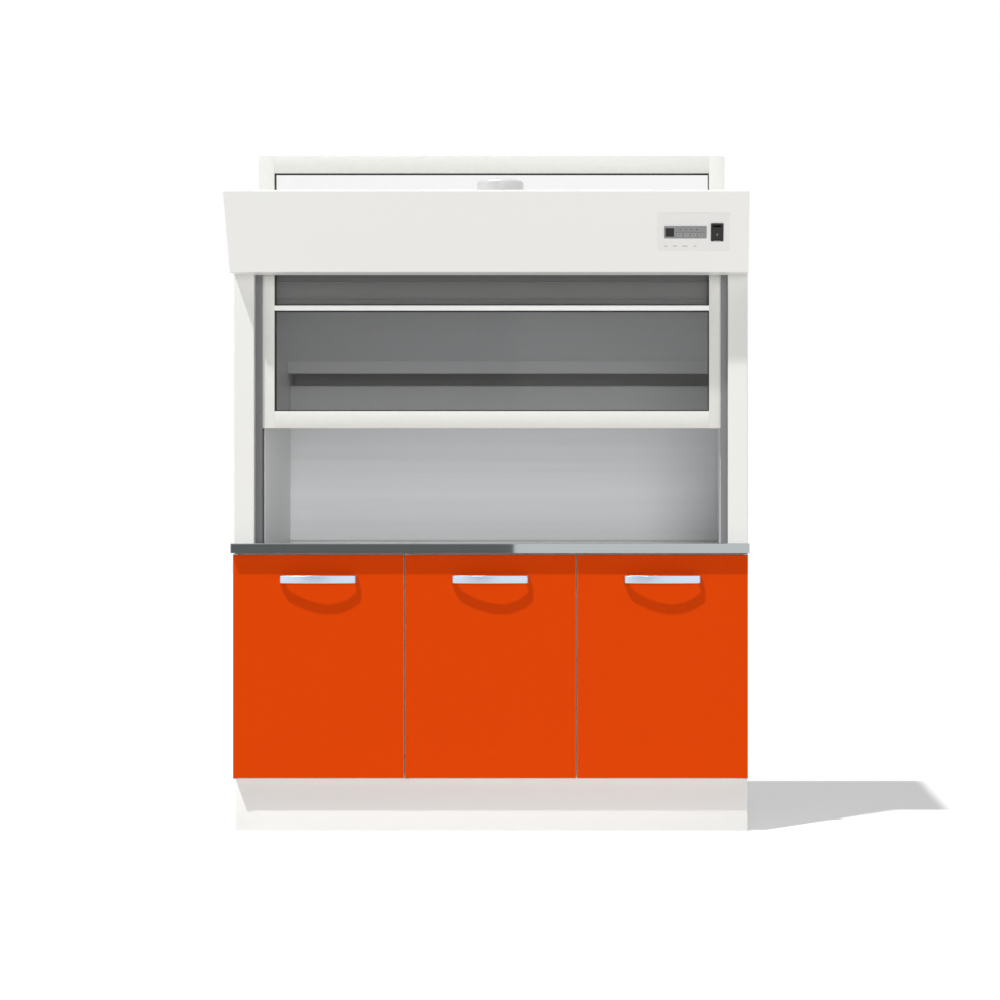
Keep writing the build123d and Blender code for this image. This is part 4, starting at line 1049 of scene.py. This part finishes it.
def lay_floor():
    """A wide pale floor that keeps the hood's shadow."""
    ground = Finish("floor", FLOOR_COLOUR, roughness=0.9, Specular_IOR_Level=0.0)
    seen = ground.node("ShaderNodeLightPath").outputs["Is Camera Ray"]
    glow = Number(ground, seen) * FLOOR_GLOW
    colour = ground.node("ShaderNodeCombineXYZ", {}, {"X": glow, "Y": glow, "Z": glow})
    ground.set("Emission Color", colour.outputs[0])
    ground.set("Emission Strength", 1.0)
    half = FLOOR_HALF
    corners = [(-half, -half, 0), (half, -half, 0), (half, half, 0), (-half, half, 0)]
    stage_face("floor", corners, ground.material)


def hang_card():
    """A dark card behind the camera, which only reflections show."""
    dark = Finish("dark_card", (0.0, 0.0, 0.0), roughness=1.0, Specular_IOR_Level=0.0)
    dark.set("Emission Color", CARD_GLOW)
    dark.set("Emission Strength", 1.0)
    depth = CAMERA_PLACE[1] - CARD_BEHIND_CAMERA
    corners = [(CARD_LEFT, depth, CARD_FOOT), (CARD_RIGHT, depth, CARD_FOOT),
               (CARD_RIGHT, depth, CARD_HEAD), (CARD_LEFT, depth, CARD_HEAD)]
    card = stage_face("dark_card", corners, dark.material)
    card.visible_camera = False
    card.visible_diffuse = False
    card.visible_shadow = False
    card.visible_transmission = False


class HOOD_OT_studio(bpy.types.Operator):
    """Set up the camera, the soft studio light, the pale floor and the dark card"""
    bl_idname = "hood.studio"
    bl_label = "Studio"
    bl_options = {"REGISTER", "UNDO"}

    def execute(self, context):
        scene = context.scene
        scene.view_settings.view_transform = "Standard"
        set_camera(scene)
        set_lamps(scene)
        set_world(scene)
        lay_floor()
        hang_card()
        return {"FINISHED"}


STEPS = (HOOD_OT_studio, HOOD_OT_finishes, HOOD_OT_edges, HOOD_OT_gaskets, HOOD_OT_cables, HOOD_OT_sealant,
         HOOD_OT_rivets, HOOD_OT_pin_holes, HOOD_OT_bumpers, HOOD_OT_legends)


class HOOD_PT_sidebar(bpy.types.Panel):
    """The hood's steps, sizes and colours in the sidebar"""
    bl_idname = "HOOD_PT_sidebar"
    bl_label = "Laboratory hood"
    bl_space_type = "VIEW_3D"
    bl_region_type = "UI"
    bl_category = "Hood"

    def draw(self, context):
        for step in STEPS:
            self.layout.operator(step.bl_idname)
        for group in (context.scene.hood_sizes, context.scene.hood_colours):
            for name in group.__annotations__:
                self.layout.prop(group, name)


CLASSES = (HoodColours, HoodSizes, *STEPS, HOOD_PT_sidebar)


def register():
    for item in CLASSES:
        bpy.utils.register_class(item)
    bpy.types.Scene.hood_colours = bpy.props.PointerProperty(type=HoodColours)
    bpy.types.Scene.hood_sizes = bpy.props.PointerProperty(type=HoodSizes)


def unregister():
    del bpy.types.Scene.hood_sizes
    del bpy.types.Scene.hood_colours
    for item in reversed(CLASSES):
        bpy.utils.unregister_class(item)


def main():
    register()
    for step in STEPS:
        getattr(bpy.ops.hood, step.bl_idname.split(".")[1])()


if __name__ == "__main__":
    main()
